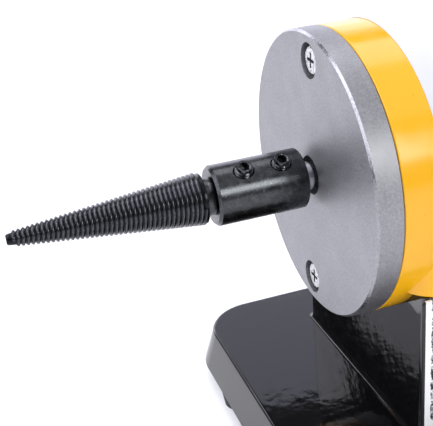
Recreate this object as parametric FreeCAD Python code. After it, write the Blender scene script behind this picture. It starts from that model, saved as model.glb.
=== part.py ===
import FreeCAD, Part
import math
import os

# Polishing lathe: a round motor on a cast base, with a tapered screw spindle at each end.
# Lengths are in mm. X runs along the motor, -Y is the front and +Z is up.
# The origin lies on the bench, straight under the middle of the motor.

# Base casting
foot_height = 6.0
flange_height = 15.0
flange_length = 218.6
flange_depth = 134.0
flange_corner_radius = 19.0
flange_draft = 4.7
flange_edge_radius = 1.3
axis_above_flange = 85.0
casting_wall = 4.0
pedestal_length = 134.8
pedestal_depth = 90.8
pedestal_corner_radius = 2.0
pedestal_draft = 1.1
pedestal_root_radius = 1.5
pedestal_edge_radius = 0.4
saddle_drop = 29.2
saddle_skin = 4.4
saddle_clearance = 0.1

# Bottom cover, its screws and the rubber feet
cover_thickness = 1.5
cover_rim = 4.0
cover_ledge = 3.0
cover_clearance = 0.3
cover_screw_radius = 1.5
cover_screw_head_radius = 2.9
cover_screw_head_height = 1.6
cover_screw_length = 9.0
cover_screw_inset = 14.0
middle_screw_inset = 9.9
boss_radius = 4.2
foot_radius = 7.5
foot_tread_radius = 6.6
foot_edge_gap = 0.0
foot_spacing = 58.0
foot_screw_radius = 2.0
foot_screw_head_radius = 3.8
foot_screw_head_height = 2.2
foot_screw_head_depth = 3.8
foot_screw_length = 12.0
foot_boss_radius = 5.0
screw_clearance = 0.2
thread_clearance = 0.05

# Motor housing
tube_diameter = 98.0
tube_length = 150.0
tube_wall = 5.0
tube_edge_radius = 0.5
skirt_length = 142.0
skirt_depth = 95.0
skirt_corner_radius = 15.0
label_thickness = 0.25
label_glue = 0.05
label_left_margin = 13.8
label_right_margin = 30.0
label_sweep_angle = 204.0
cap_rim = 9.1
cap_chamfer = 0.7
cap_joint_chamfer = 0.5
cap_spigot_depth = 3.0
cap_spigot_wall = 4.0
cap_fit = 0.1
cap_shaft_hole_radius = 6.8
cap_front_wall = 3.5
bearing_boss_wall = 6.0
bolt_circle_radius = 40.3
bolt_turn_angle = 3.2
bolt_radius = 2.5
bolt_head_radius = 4.75
bolt_head_height = 2.6
bolt_head_corner = 0.8
bolt_pocket_radius = 5.9
bolt_pocket_depth = 3.4
cross_slot_width = 1.1
cross_slot_length = 5.2
cross_slot_depth = 1.5
nut_flat_width = 8.0
nut_height = 3.2
mount_screw_radius = 3.0
mount_screw_head_radius = 5.0
mount_screw_head_height = 3.6
mount_screw_inset = 16.4
mount_screw_count = 4
mount_screw_tip_gap = 0.6

# Magnets and brush gear
magnet_thickness = 9.0
magnet_overhang = 4.5
magnet_sweep_angle = 128.0
air_gap = 1.0
brush_width = 8.0
brush_height = 6.0
brush_length = 16.0
brush_clearance = 0.1
brush_contact_gap = 0.3
holder_radius = 8.0
holder_inner_gap = 2.2
holder_fit = 0.1
brush_cap_radius = 7.0
brush_cap_stand = 2.2
brush_cap_plug_depth = 3.0
brush_cap_plug_radius = 5.0
brush_cap_slot_width = 1.6
brush_cap_slot_depth = 1.2
spring_radius = 2.2
spring_wire_radius = 0.35
spring_turns = 6

# Bearings
bearing_outer_radius = 15.0
bearing_bore_radius = 5.0
bearing_width = 9.0
bearing_ring_wall = 3.1
bearing_fit = 0.02
ball_radius = 2.4
ball_count = 8
ball_clearance = 0.08
race_clearance = 0.02
cage_half_width = 2.9
cage_wall = 1.2
washer_thickness = 1.2
washer_width = 3.0
washer_wave = 0.3

# Rotor
shaft_radius = 5.0
shoulder_radius = 7.0
core_seat_radius = 8.5
winding_overhang = 14.0
winding_bearing_gap = 15.1
winding_commutator_gap = 3.7
winding_inner_radius = 11.0
winding_rim_gap = 2.5
slot_count = 12
slot_width = 6.0
slot_depth = 13.0
slot_mouth = 2.4
tooth_tip = 2.0
wire_gap = 0.4
commutator_radius = 15.0
commutator_length = 20.0
commutator_holder_gap = 0.8
commutator_bearing_gap = 3.2
commutator_bars = 24
commutator_slit = 0.6
commutator_slit_depth = 1.6
riser_radius = 18.0
riser_length = 3.0
seat_gap = 0.02

# Tapered screw spindles
spindle_gap = 4.2
collar_length = 31.3
collar_radius = 10.2
collar_chamfer = 0.9
collar_bore_depth = 27.0
shaft_in_collar = 25.0
neck_radius = 6.4
neck_length = 3.0
taper_length = 64.0
taper_pitch = 1.52
taper_large_radius = 9.0
taper_tip_radius = 2.4
thread_depth = 0.75
thread_crest = 0.25
setscrew_radius = 3.0
setscrew_stand = 2.4
setscrew_hex_width = 3.0
setscrew_hex_depth = 3.0
setscrew_tilt = 60.0
setscrew_first = 8.0
setscrew_pitch = 12.9
setscrew_sink_radius = 3.65
setscrew_sink_depth = 0.6

# Front panel, switch and speed control
panel_thickness = 0.8
panel_side_margin = 0.2
panel_bottom = 26.0
panel_top_margin = 0.5
panel_corner_radius = 1.5
control_rise = 24.0
switch_place = -38.0
switch_bezel_width = 15.0
switch_bezel_height = 21.0
switch_bezel_thickness = 1.8
switch_bezel_radius = 1.2
switch_body_width = 13.0
switch_body_height = 19.0
switch_body_depth = 12.0
switch_tab_width = 4.8
switch_tab_thickness = 0.8
switch_tab_length = 7.0
switch_tab_spacing = 9.0
rocker_width = 10.0
rocker_half_height = 7.4
rocker_crown = 4.4
rocker_valley = 3.2
rocker_root = 1.5
rocker_root_half_height = 6.8
rocker_belly = 4.5
rocker_pivot_depth = 2.5
rocker_side_gap = 0.3
rocker_end_gap = 1.0
rocker_tilt = 11.0
rocker_pin_radius = 1.0
rocker_pin_length = 0.8
rocker_pin_clearance = 0.05
panel_hole_clearance = 0.2
knob_place = 18.0
knob_radius = 12.0
knob_foot_radius = 12.8
knob_foot_height = 2.0
knob_height = 13.6
knob_gap = 0.6
knob_edge = 0.8
knob_flute_radius = 1.2
knob_flute_count = 20
knob_mark_width = 1.2
knob_mark_depth = 0.5
knob_turn = 280.0
knob_hub_radius = 6.9
knob_roof = 3.0
bushing_radius = 3.5
bushing_stand = 4.0
pot_radius = 8.3
pot_depth = 9.0
pot_shaft_radius = 3.0
pot_shaft_clearance = 0.05
pot_shaft_inner = 6.0
pot_nut_width = 10.0
pot_nut_height = 2.2

# Cable gland in the rear wall
gland_inset = 23.4
gland_height = 36.0
gland_bore_radius = 3.4
gland_tail_bore_radius = 4.0
gland_thread_radius = 6.0
gland_flange_width = 16.0
gland_flange_height = 4.5
gland_nut_width = 16.0
gland_nut_height = 9.0
gland_nut_gap = 0.5
gland_dome = 3.0
gland_seal_wall = 1.6
gland_lock_width = 17.0
gland_lock_height = 3.5
gland_tail = 7.0

# Speed control board
board_length = 96.0
board_depth = 56.0
board_thickness = 1.6
board_middle = -6.0
standoff_height = 8.0
standoff_radius = 3.0
standoff_inset = 4.5
board_screw_radius = 1.5
board_screw_head_radius = 2.8
board_screw_head_height = 1.8
board_screw_length = 6.0
sink_length = 26.0
sink_depth = 34.0
sink_height = 22.0
sink_base = 3.0
sink_fin = 1.6
sink_fin_count = 5
sink_place = -34.0
thyristor_width = 10.0
thyristor_height = 15.0
thyristor_thickness = 4.4
bridge_size = 15.0
bridge_height = 7.0
bridge_place = -2.0
bridge_offset = -14.0
capacitor_radius = 8.0
capacitor_height = 20.0
capacitor_place = 0.0
capacitor_offset = 10.0
choke_radius = 9.0
choke_tube_radius = 4.0
choke_place = 26.0
choke_offset = -14.0
terminal_length = 24.0
terminal_depth = 10.0
terminal_height = 11.0
terminal_place = 24.0
terminal_offset = 10.0
terminal_ways = 4

# Motor leads and their grommets
lead_radius = 1.1
lead_bend = 6.0
lead_offset = 14.0
lead_shift = 13.0
lead_step = 4.0
grommet_radius = 4.0
grommet_lip_radius = 5.4
grommet_lip = 1.5
grommet_clearance = 0.1

# One overrun serves every cut, and one tolerance finds edges
overrun = 5.0
edge_tolerance = 0.01

# Worked out from the sizes above
flange_top = foot_height + flange_height
flange_low_length = flange_length + 2 * flange_draft
flange_low_depth = flange_depth + 2 * flange_draft
flange_low_corner = flange_corner_radius + flange_draft
axis_height = flange_top + axis_above_flange
saddle_top = axis_height - saddle_drop
tube_radius = tube_diameter / 2
tube_inner_radius = tube_radius - tube_wall
tube_end = tube_length / 2
cap_face = tube_end + cap_rim
cavity_roof = flange_top - casting_wall
cover_top = foot_height + cover_thickness
pedestal_front = -pedestal_depth / 2
pedestal_inner_front = pedestal_front + casting_wall
panel_face = pedestal_front - panel_thickness
control_height = panel_bottom + control_rise
saddle_radius = tube_radius + saddle_clearance
magnet_inner_radius = tube_inner_radius - magnet_thickness
core_radius = magnet_inner_radius - air_gap
bearing_seat = cap_face - cap_front_wall
bearing_left_end = -bearing_seat + bearing_width
bearing_right_end = bearing_seat - washer_thickness - bearing_width
commutator_end = bearing_right_end - commutator_bearing_gap
commutator_start = commutator_end - commutator_length
brush_middle = commutator_start + riser_length + commutator_holder_gap + holder_radius
core_start = bearing_left_end + winding_bearing_gap + winding_overhang
core_end = commutator_start - winding_commutator_gap - winding_overhang + riser_length
lead_place = brush_middle - lead_shift
lead_wall_top = axis_height - math.sqrt(tube_inner_radius ** 2 - lead_offset ** 2)
lead_lip_edge = lead_offset - grommet_lip_radius
lead_skin_low = axis_height - math.sqrt((saddle_radius + saddle_skin) ** 2 - lead_lip_edge ** 2)
gland_place = pedestal_length / 2 - gland_inset
collar_near = cap_face + spindle_gap
collar_far = collar_near + collar_length
shaft_end = collar_near + shaft_in_collar
board_base = cover_top + standoff_height
board_top = board_base + board_thickness
sides = (-1, 1)


def rod_x(start, end, radius, y=0.0, z=axis_height):
    low = min(start, end)
    high = max(start, end)
    return Part.makeCylinder(radius, high - low, FreeCAD.Vector(low, y, z), FreeCAD.Vector(1, 0, 0))


def rod_y(start, end, radius, x, z):
    low = min(start, end)
    high = max(start, end)
    return Part.makeCylinder(radius, high - low, FreeCAD.Vector(x, low, z), FreeCAD.Vector(0, 1, 0))


def rod_z(start, end, radius, x, y):
    low = min(start, end)
    high = max(start, end)
    return Part.makeCylinder(radius, high - low, FreeCAD.Vector(x, y, low))


def ring_x(start, end, outer, inner):
    hole = rod_x(min(start, end) - overrun, max(start, end) + overrun, inner)
    return rod_x(start, end, outer).cut(hole)


def block(x_low, x_high, y_low, y_high, z_low, z_high):
    corner = FreeCAD.Vector(min(x_low, x_high), min(y_low, y_high), min(z_low, z_high))
    return Part.makeBox(abs(x_high - x_low), abs(y_high - y_low), abs(z_high - z_low), corner)


def rounded_outline(length, depth, radius, z):
    """A rectangle with round corners, centred on the Z axis at height z."""
    a = length / 2
    b = depth / 2
    diagonal = radius * (1 - math.sqrt(0.5))
    edges = []
    for turn in range(4):
        along, across = (a, b) if turn % 2 == 0 else (b, a)
        start = FreeCAD.Vector(along, -across + radius, z)
        end = FreeCAD.Vector(along, across - radius, z)
        middle = FreeCAD.Vector(along - diagonal, across - diagonal, z)
        after = FreeCAD.Vector(along - radius, across, z)
        corner = Part.makePolygon([start, end]).Edges[0], Part.Arc(end, middle, after).toShape()
        for edge in corner:
            edge.rotate(FreeCAD.Vector(0, 0, 0), FreeCAD.Vector(0, 0, 1), 90 * turn)
            edges.append(edge)
    return Part.Wire(Part.__sortEdges__(edges))


def rounded_block(length, depth, radius, z_low, z_high):
    face = Part.Face(rounded_outline(length, depth, radius, z_low))
    return face.extrude(FreeCAD.Vector(0, 0, z_high - z_low))


def front_plate(width, height, radius, y_front, y_back, x, z):
    """A plate with round corners that faces the front."""
    plate = rounded_block(width, height, radius, 0, y_back - y_front)
    plate.rotate(FreeCAD.Vector(0, 0, 0), FreeCAD.Vector(1, 0, 0), -90)
    plate.translate(FreeCAD.Vector(x, y_front, z))
    return plate


def hexagon(width, height, centre, direction):
    """A hexagonal prism: width is across its flats, and it grows along direction."""
    reach = width / math.sqrt(3)
    corners = []
    for step in range(7):
        turn = math.radians(60 * step)
        corners.append(FreeCAD.Vector(reach * math.cos(turn), reach * math.sin(turn), 0))
    prism = Part.Face(Part.makePolygon(corners)).extrude(FreeCAD.Vector(0, 0, height))
    placement = FreeCAD.Placement(centre, FreeCAD.Rotation(FreeCAD.Vector(0, 0, 1), direction))
    prism.Placement = placement
    return prism


def turned_x(profile):
    """A solid turned about the motor's axis from points of x and radius."""
    points = [FreeCAD.Vector(x, 0, axis_height + radius) for x, radius in profile]
    points.append(points[0])
    face = Part.Face(Part.makePolygon(points))
    return face.revolve(FreeCAD.Vector(0, 0, axis_height), FreeCAD.Vector(1, 0, 0), 360)


def sector_x(start, end, outer, inner, middle, sweep):
    """Part of a ring about the motor's axis: middle and sweep are angles from the rear, upwards."""
    first = math.radians(middle - sweep / 2)
    centre = math.radians(middle)
    last = math.radians(middle + sweep / 2)

    def spot(radius, angle):
        return FreeCAD.Vector(start, radius * math.cos(angle), axis_height + radius * math.sin(angle))

    edges = [
        Part.Arc(spot(outer, first), spot(outer, centre), spot(outer, last)).toShape(),
        Part.makePolygon([spot(outer, last), spot(inner, last)]).Edges[0],
        Part.Arc(spot(inner, last), spot(inner, centre), spot(inner, first)).toShape(),
        Part.makePolygon([spot(inner, first), spot(outer, first)]).Edges[0],
    ]
    return Part.Face(Part.Wire(edges)).extrude(FreeCAD.Vector(end - start, 0, 0))


def mirrored(shape, side):
    """The shape itself on the right, or its mirror image on the left."""
    if side > 0:
        return shape
    return shape.mirror(FreeCAD.Vector(0, 0, 0), FreeCAD.Vector(1, 0, 0))


def front_or_rear(shape, side):
    """The shape itself at the rear, or its mirror image at the front."""
    if side > 0:
        return shape
    return shape.mirror(FreeCAD.Vector(0, 0, 0), FreeCAD.Vector(0, 1, 0))


def round_edges(shape, radius, wanted):
    return shape.makeFillet(radius, [edge for edge in shape.Edges if wanted(edge.BoundBox)])


def cut_all(shape, tools):
    for tool in tools:
        shape = shape.cut(tool)
    return shape


def fuse_all(shapes):
    return shapes[0].fuse(shapes[1:]).removeSplitter()


def save(name, *shapes):
    shape = shapes[0] if len(shapes) == 1 else Part.makeCompound(list(shapes))
    shape.exportStep("parts/" + name + ".step")


# Places of the fasteners under the base
cover_screw_x = flange_low_length / 2 - cover_screw_inset
cover_screw_y = flange_low_depth / 2 - cover_screw_inset
cover_screw_places = [(sx * cover_screw_x, sy * cover_screw_y) for sx in sides for sy in sides]
middle_screw_y = flange_low_depth / 2 - middle_screw_inset
cover_screw_places += [(0.0, sy * middle_screw_y) for sy in sides]
foot_x = flange_low_length / 2 - foot_edge_gap - foot_radius
foot_places = [(sx * foot_x, sy * foot_spacing / 2) for sx in sides for sy in sides]
mount_screw_end = pedestal_length / 2 - mount_screw_inset
mount_screw_pitch = 2 * mount_screw_end / (mount_screw_count - 1)
mount_screw_x = [mount_screw_pitch * number - mount_screw_end for number in range(mount_screw_count)]
lead_places = [(lead_place, side * lead_offset) for side in sides]
gland_axis = FreeCAD.Vector(0, 1, 0)


def switch_cutout(y_front, y_back):
    half_width = switch_body_width / 2 + panel_hole_clearance
    half_height = switch_body_height / 2 + panel_hole_clearance
    return block(
        switch_place - half_width, switch_place + half_width, y_front, y_back,
        control_height - half_height, control_height + half_height,
    )


def bushing_hole(y_front, y_back):
    return rod_y(y_front, y_back, bushing_radius + panel_hole_clearance, knob_place, control_height)


def base_casting():
    low = rounded_outline(flange_low_length, flange_low_depth, flange_low_corner, foot_height)
    high = rounded_outline(flange_length, flange_depth, flange_corner_radius, flange_top)
    flange = Part.makeLoft([low, high], True, True)
    flange = round_edges(
        flange, flange_edge_radius, lambda box: abs(box.ZMin - flange_top) < edge_tolerance
    )
    pedestal_low = rounded_outline(pedestal_length, pedestal_depth, pedestal_corner_radius, flange_top)
    pedestal_high = rounded_outline(
        pedestal_length - 2 * pedestal_draft, pedestal_depth, pedestal_corner_radius, saddle_top
    )
    pedestal = Part.makeLoft([pedestal_low, pedestal_high], True, True)
    pedestal = round_edges(
        pedestal, pedestal_edge_radius, lambda box: abs(box.ZMin - saddle_top) < edge_tolerance
    )
    casting = flange.fuse(pedestal)
    reach = pedestal_length / 2 + edge_tolerance

    def at_root(box):
        level = abs(box.ZMin - flange_top) < edge_tolerance and abs(box.ZMax - flange_top) < edge_tolerance
        return level and box.XMax < reach and box.XMin > -reach

    casting = round_edges(casting, pedestal_root_radius, at_root)
    outside = casting
    casting = casting.cut(rod_x(-flange_length, flange_length, saddle_radius))

    recess = rounded_block(
        flange_low_length - 2 * cover_rim, flange_low_depth - 2 * cover_rim,
        flange_low_corner - cover_rim, foot_height - overrun, cover_top,
    )
    inner_rim = cover_rim + cover_ledge
    hollow = rounded_block(
        flange_low_length - 2 * inner_rim, flange_low_depth - 2 * inner_rim,
        flange_low_corner - inner_rim, foot_height, cavity_roof,
    )
    inside = block(
        -pedestal_length / 2 + casting_wall, pedestal_length / 2 - casting_wall,
        pedestal_inner_front, -pedestal_inner_front, foot_height, saddle_top,
    )
    inside = inside.cut(rod_x(-flange_length, flange_length, saddle_radius + saddle_skin))
    casting = cut_all(casting, [recess, hollow, inside])

    boss_top = cavity_roof + casting_wall / 2
    bosses = [rod_z(cover_top, boss_top, boss_radius, x, y) for x, y in cover_screw_places]
    bosses += [rod_z(cover_top, boss_top, foot_boss_radius, x, y) for x, y in foot_places]
    casting = fuse_all([casting] + [boss.common(outside) for boss in bosses])

    holes = []
    tapped = cover_screw_radius + thread_clearance
    for x, y in cover_screw_places:
        holes.append(rod_z(foot_height, foot_height + cover_screw_length, tapped, x, y))
    for x, y in foot_places:
        tip = foot_screw_head_depth + foot_screw_length
        holes.append(rod_z(foot_height, tip + thread_clearance, foot_screw_radius + thread_clearance, x, y))
    for x in mount_screw_x:
        holes.append(rod_z(cavity_roof, axis_height, mount_screw_radius + screw_clearance, x, 0))
    for x, y in lead_places:
        holes.append(rod_z(cavity_roof, axis_height, grommet_radius + grommet_clearance, x, y))
        lip_low = lead_skin_low - grommet_lip - grommet_clearance
        holes.append(rod_z(lip_low, lead_skin_low, grommet_lip_radius + grommet_clearance, x, y))
    holes.append(switch_cutout(pedestal_front - overrun, pedestal_inner_front + overrun))
    holes.append(bushing_hole(pedestal_front - overrun, pedestal_inner_front + overrun))
    holes.append(rod_y(
        -pedestal_inner_front - overrun, -pedestal_front + overrun,
        gland_thread_radius + panel_hole_clearance, gland_place, gland_height,
    ))
    save("base_casting", cut_all(casting, holes))


def bottom_cover():
    rim = cover_rim + cover_clearance
    plate = rounded_block(
        flange_low_length - 2 * rim, flange_low_depth - 2 * rim, flange_low_corner - rim,
        foot_height, cover_top,
    )
    holes = []
    groups = (
        (cover_screw_places, cover_screw_radius),
        (foot_places, foot_screw_radius),
        (standoff_places(), board_screw_radius),
    )
    for places, radius in groups:
        for x, y in places:
            holes.append(rod_z(foot_height - overrun, cover_top + overrun, radius + screw_clearance, x, y))
    save("bottom_cover", cut_all(plate, holes))

    screws = []
    for x, y in cover_screw_places:
        head_low = foot_height - cover_screw_head_height
        head = rod_z(head_low, foot_height, cover_screw_head_radius, x, y)
        shank = rod_z(head_low, foot_height + cover_screw_length, cover_screw_radius, x, y)
        screws.append(cross_slotted(head.fuse(shank), x, y, head_low))
    save("cover_screws", *screws)


def cross_slotted(screw, x, y, head_bottom):
    """A cross recess in a head that faces down."""
    reach = cover_screw_head_radius / 2
    half = cross_slot_width / 2
    depth = head_bottom + cover_screw_head_height / 2
    return cut_all(screw, [
        block(x - reach, x + reach, y - half, y + half, head_bottom - overrun, depth),
        block(x - half, x + half, y - reach, y + reach, head_bottom - overrun, depth),
    ])


def rubber_feet():
    feet = []
    screws = []
    for x, y in foot_places:
        foot = Part.makeCone(foot_tread_radius, foot_radius, foot_height, FreeCAD.Vector(x, y, 0))
        pocket = rod_z(-overrun, foot_screw_head_depth, foot_screw_head_radius + screw_clearance, x, y)
        hole = rod_z(-overrun, foot_height + overrun, foot_screw_radius + screw_clearance, x, y)
        feet.append(cut_all(foot, [pocket, hole]))
        head_low = foot_screw_head_depth - foot_screw_head_height
        head = rod_z(head_low, foot_screw_head_depth, foot_screw_head_radius, x, y)
        shank = rod_z(head_low, foot_screw_head_depth + foot_screw_length, foot_screw_radius, x, y)
        screws.append(cross_slotted(head.fuse(shank), x, y, head_low))
    save("rubber_feet", *feet)
    save("foot_screws", *screws)


def housing_skirt():
    """The lower part of the housing, which stands on the pedestal's top on both sides of the saddle."""
    skirt = rounded_block(skirt_length, skirt_depth, skirt_corner_radius, saddle_top, axis_height)
    skirt = round_edges(skirt, tube_edge_radius, lambda box: box.ZMax < saddle_top + edge_tolerance)
    return skirt.cut(rod_x(-tube_end, tube_end, tube_inner_radius))


def motor_housing():
    tube = ring_x(-tube_end, tube_end, tube_radius, tube_inner_radius)
    tube = round_edges(
        tube, tube_edge_radius, lambda box: box.ZMax > axis_height + tube_radius - edge_tolerance
        and abs(box.XMax - box.XMin) < edge_tolerance
    )
    tube = fuse_all([tube, housing_skirt()])
    holes = [rod_z(axis_height - tube_radius - overrun, axis_height - tube_inner_radius + overrun,
                   mount_screw_radius + thread_clearance, x, 0) for x in mount_screw_x]
    holes += [rod_z(axis_height - tube_radius - overrun, axis_height - tube_inner_radius + overrun,
                    grommet_radius + grommet_clearance, x, y) for x, y in lead_places]
    for side in sides:
        holes.append(front_or_rear(
            rod_y(tube_inner_radius - overrun, tube_radius + overrun, holder_radius + holder_fit,
                  brush_middle, axis_height), side))
    save("motor_tube", cut_all(tube, holes))

    label = sector_x(
        -tube_end + label_left_margin, tube_end - label_right_margin,
        tube_radius + label_glue + label_thickness, tube_radius + label_glue, 90, label_sweep_angle,
    )
    save("motor_label", label)

    screws = []
    for x in mount_screw_x:
        skin = axis_height - saddle_radius - saddle_skin
        tip = axis_height - tube_inner_radius - mount_screw_tip_gap
        head = rod_z(skin - mount_screw_head_height, skin, mount_screw_head_radius, x, 0)
        screws.append(head.fuse(rod_z(skin - mount_screw_head_height, tip, mount_screw_radius, x, 0)))
    save("mount_screws", *screws)


def end_cap(side, washer):
    """Turned cap with its bearing pocket, drawn for the right end and mirrored for the left."""
    spigot_radius = tube_inner_radius - cap_fit
    pocket_floor = bearing_seat
    boss_end = bearing_seat - washer - bearing_width
    pocket_radius = bearing_outer_radius + bearing_fit
    profile = [
        (cap_face, cap_shaft_hole_radius),
        (cap_face, tube_radius - cap_chamfer),
        (cap_face - cap_chamfer, tube_radius),
        (tube_end + cap_joint_chamfer, tube_radius),
        (tube_end, tube_radius - cap_joint_chamfer),
        (tube_end, spigot_radius),
        (tube_end - cap_spigot_depth, spigot_radius),
        (tube_end - cap_spigot_depth, spigot_radius - cap_spigot_wall),
        (tube_end, spigot_radius - cap_spigot_wall),
        (tube_end, pocket_radius + bearing_boss_wall),
        (boss_end, pocket_radius + bearing_boss_wall),
        (boss_end, pocket_radius),
        (pocket_floor, pocket_radius),
        (pocket_floor, cap_shaft_hole_radius),
    ]
    cap = turned_x(profile)
    holes = []
    for up in sides:
        z = axis_height + up * bolt_circle_radius
        hole = rod_x(tube_end - overrun, cap_face + overrun, bolt_radius + screw_clearance, 0, z)
        pocket = rod_x(cap_face - bolt_pocket_depth, cap_face + overrun, bolt_pocket_radius, 0, z)
        holes += [turned_with_bolts(hole), turned_with_bolts(pocket)]
    return mirrored(cut_all(cap, holes), side)


def turned_with_bolts(shape):
    """The line through the two bolts leans a little from the vertical."""
    shape.rotate(FreeCAD.Vector(0, 0, axis_height), FreeCAD.Vector(1, 0, 0), bolt_turn_angle)
    return shape


def through_bolts():
    bolts = []
    nuts = []
    seat = cap_face - bolt_pocket_depth
    for up in sides:
        z = axis_height + up * bolt_circle_radius
        head = rod_x(-seat - bolt_head_height, -seat, bolt_head_radius, 0, z)
        head = round_edges(
            head, bolt_head_corner, lambda box: abs(box.XMax + seat + bolt_head_height) < edge_tolerance
        )
        shank = rod_x(-seat - bolt_head_height / 2, seat + nut_height, bolt_radius, 0, z)
        top = -seat - bolt_head_height
        half = cross_slot_width / 2
        reach = cross_slot_length / 2
        bolt = cut_all(head.fuse(shank), [
            block(top - overrun, top + cross_slot_depth, -reach, reach, z - half, z + half),
            block(top - overrun, top + cross_slot_depth, -half, half, z - reach, z + reach),
        ])
        bolts.append(turned_with_bolts(bolt))
        nut = hexagon(nut_flat_width, nut_height, FreeCAD.Vector(seat, 0, z), FreeCAD.Vector(1, 0, 0))
        nut = nut.cut(rod_x(0, cap_face + overrun, bolt_radius + thread_clearance, 0, z))
        nuts.append(turned_with_bolts(nut))
    save("through_bolts", *bolts)
    save("through_bolt_nuts", *nuts)


def bearing(side, place, washer):
    """A deep groove ball bearing, seated against its cap or its wave washer."""
    far = bearing_seat - washer
    near = far - bearing_width
    middle = (far + near) / 2
    pitch_radius = (bearing_outer_radius + bearing_bore_radius) / 2
    groove = Part.makeTorus(
        pitch_radius, ball_radius + ball_clearance,
        FreeCAD.Vector(middle, 0, axis_height), FreeCAD.Vector(1, 0, 0),
    )
    inner = ring_x(near, far, bearing_bore_radius + bearing_ring_wall, bearing_bore_radius + race_clearance)
    outer = ring_x(near, far, bearing_outer_radius, bearing_outer_radius - bearing_ring_wall)
    save("bearing_inner_" + place, mirrored(inner.cut(groove), side))
    save("bearing_outer_" + place, mirrored(outer.cut(groove), side))
    balls = []
    cage = ring_x(
        middle - cage_half_width, middle + cage_half_width,
        pitch_radius + cage_wall / 2, pitch_radius - cage_wall / 2,
    )
    for number in range(ball_count):
        turn = 2 * math.pi * number / ball_count
        across = pitch_radius * math.cos(turn)
        up = pitch_radius * math.sin(turn)
        centre = FreeCAD.Vector(middle, across, axis_height + up)
        balls.append(mirrored(Part.makeSphere(ball_radius, centre), side))
        cage = cage.cut(Part.makeSphere(ball_radius + ball_clearance, centre))
    return balls, mirrored(cage, side)


def wave_washer():
    """A thin ring behind the right bearing that takes up its end play."""
    outer = bearing_outer_radius - washer_wave
    ring = ring_x(bearing_seat - washer_thickness + washer_wave / 2, bearing_seat - washer_wave / 2,
                  outer, outer - washer_width)
    save("wave_washer", ring)


def magnets():
    for side, name in zip(sides, ("magnet_front", "magnet_rear")):
        arc = sector_x(
            core_start - magnet_overhang, core_end + magnet_overhang,
            tube_inner_radius, magnet_inner_radius, 0, magnet_sweep_angle,
        )
        save(name, front_or_rear(arc, side))


def brush_gear(side, place):
    """Holder, cap, spring and carbon of one brush, drawn at the rear and mirrored to the front."""
    inner_end = commutator_radius + holder_inner_gap
    brush_start = commutator_radius + brush_contact_gap
    brush_end = brush_start + brush_length
    cap_seat = tube_radius
    plug_end = cap_seat - brush_cap_plug_depth
    slide_width = brush_width / 2 + brush_clearance
    slide_height = brush_height / 2 + brush_clearance

    holder = rod_y(inner_end, cap_seat, holder_radius, brush_middle, axis_height)
    channel = block(
        brush_middle - slide_width, brush_middle + slide_width, inner_end - overrun, plug_end,
        axis_height - slide_height, axis_height + slide_height,
    )
    mouth_radius = brush_cap_plug_radius + thread_clearance
    mouth = rod_y(plug_end, cap_seat + overrun, mouth_radius, brush_middle, axis_height)
    save("brush_holder_" + place, front_or_rear(cut_all(holder, [channel, mouth]), side))

    head = rod_y(cap_seat, cap_seat + brush_cap_stand, brush_cap_radius, brush_middle, axis_height)
    head = round_edges(
        head, brush_cap_stand / 3,
        lambda box: abs(box.YMin - cap_seat - brush_cap_stand) < edge_tolerance,
    )
    plug = rod_y(plug_end, cap_seat + brush_cap_stand / 2, brush_cap_plug_radius, brush_middle, axis_height)
    slot = block(
        brush_middle - brush_cap_radius, brush_middle + brush_cap_radius,
        cap_seat + brush_cap_stand - brush_cap_slot_depth, cap_seat + brush_cap_stand + overrun,
        axis_height - brush_cap_slot_width / 2, axis_height + brush_cap_slot_width / 2,
    )
    save("brush_cap_" + place, front_or_rear(head.fuse(plug).cut(slot), side))

    carbon = block(
        brush_middle - brush_width / 2, brush_middle + brush_width / 2, brush_start, brush_end,
        axis_height - brush_height / 2, axis_height + brush_height / 2,
    )
    save("brush_" + place, front_or_rear(carbon, side))
    spring = coil_y(brush_middle, axis_height, brush_end, plug_end)
    save("brush_spring_" + place, front_or_rear(spring, side))


def coil_y(x, z, start, end):
    """A coil spring along Y: one tube of half turns that climb at a steady rate."""
    half_turns = 2 * spring_turns
    rise = (end - start - 2 * spring_wire_radius) / half_turns
    first = start + spring_wire_radius

    def spot(count):
        turn = math.pi * count
        return FreeCAD.Vector(
            x + spring_radius * math.cos(turn), first + rise * count, z + spring_radius * math.sin(turn)
        )

    arcs = [Part.Arc(spot(n), spot(n + 0.5), spot(n + 1)).toShape() for n in range(half_turns)]
    path = Part.Wire(arcs)
    tangent = arcs[0].tangentAt(arcs[0].FirstParameter)
    profile = Part.Wire(Part.makeCircle(spring_wire_radius, spot(0), tangent))
    pipe = Part.BRepOffsetAPI.MakePipeShell(path)
    pipe.add(profile)
    pipe.build()
    pipe.makeSolid()
    return pipe.shape()


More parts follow.
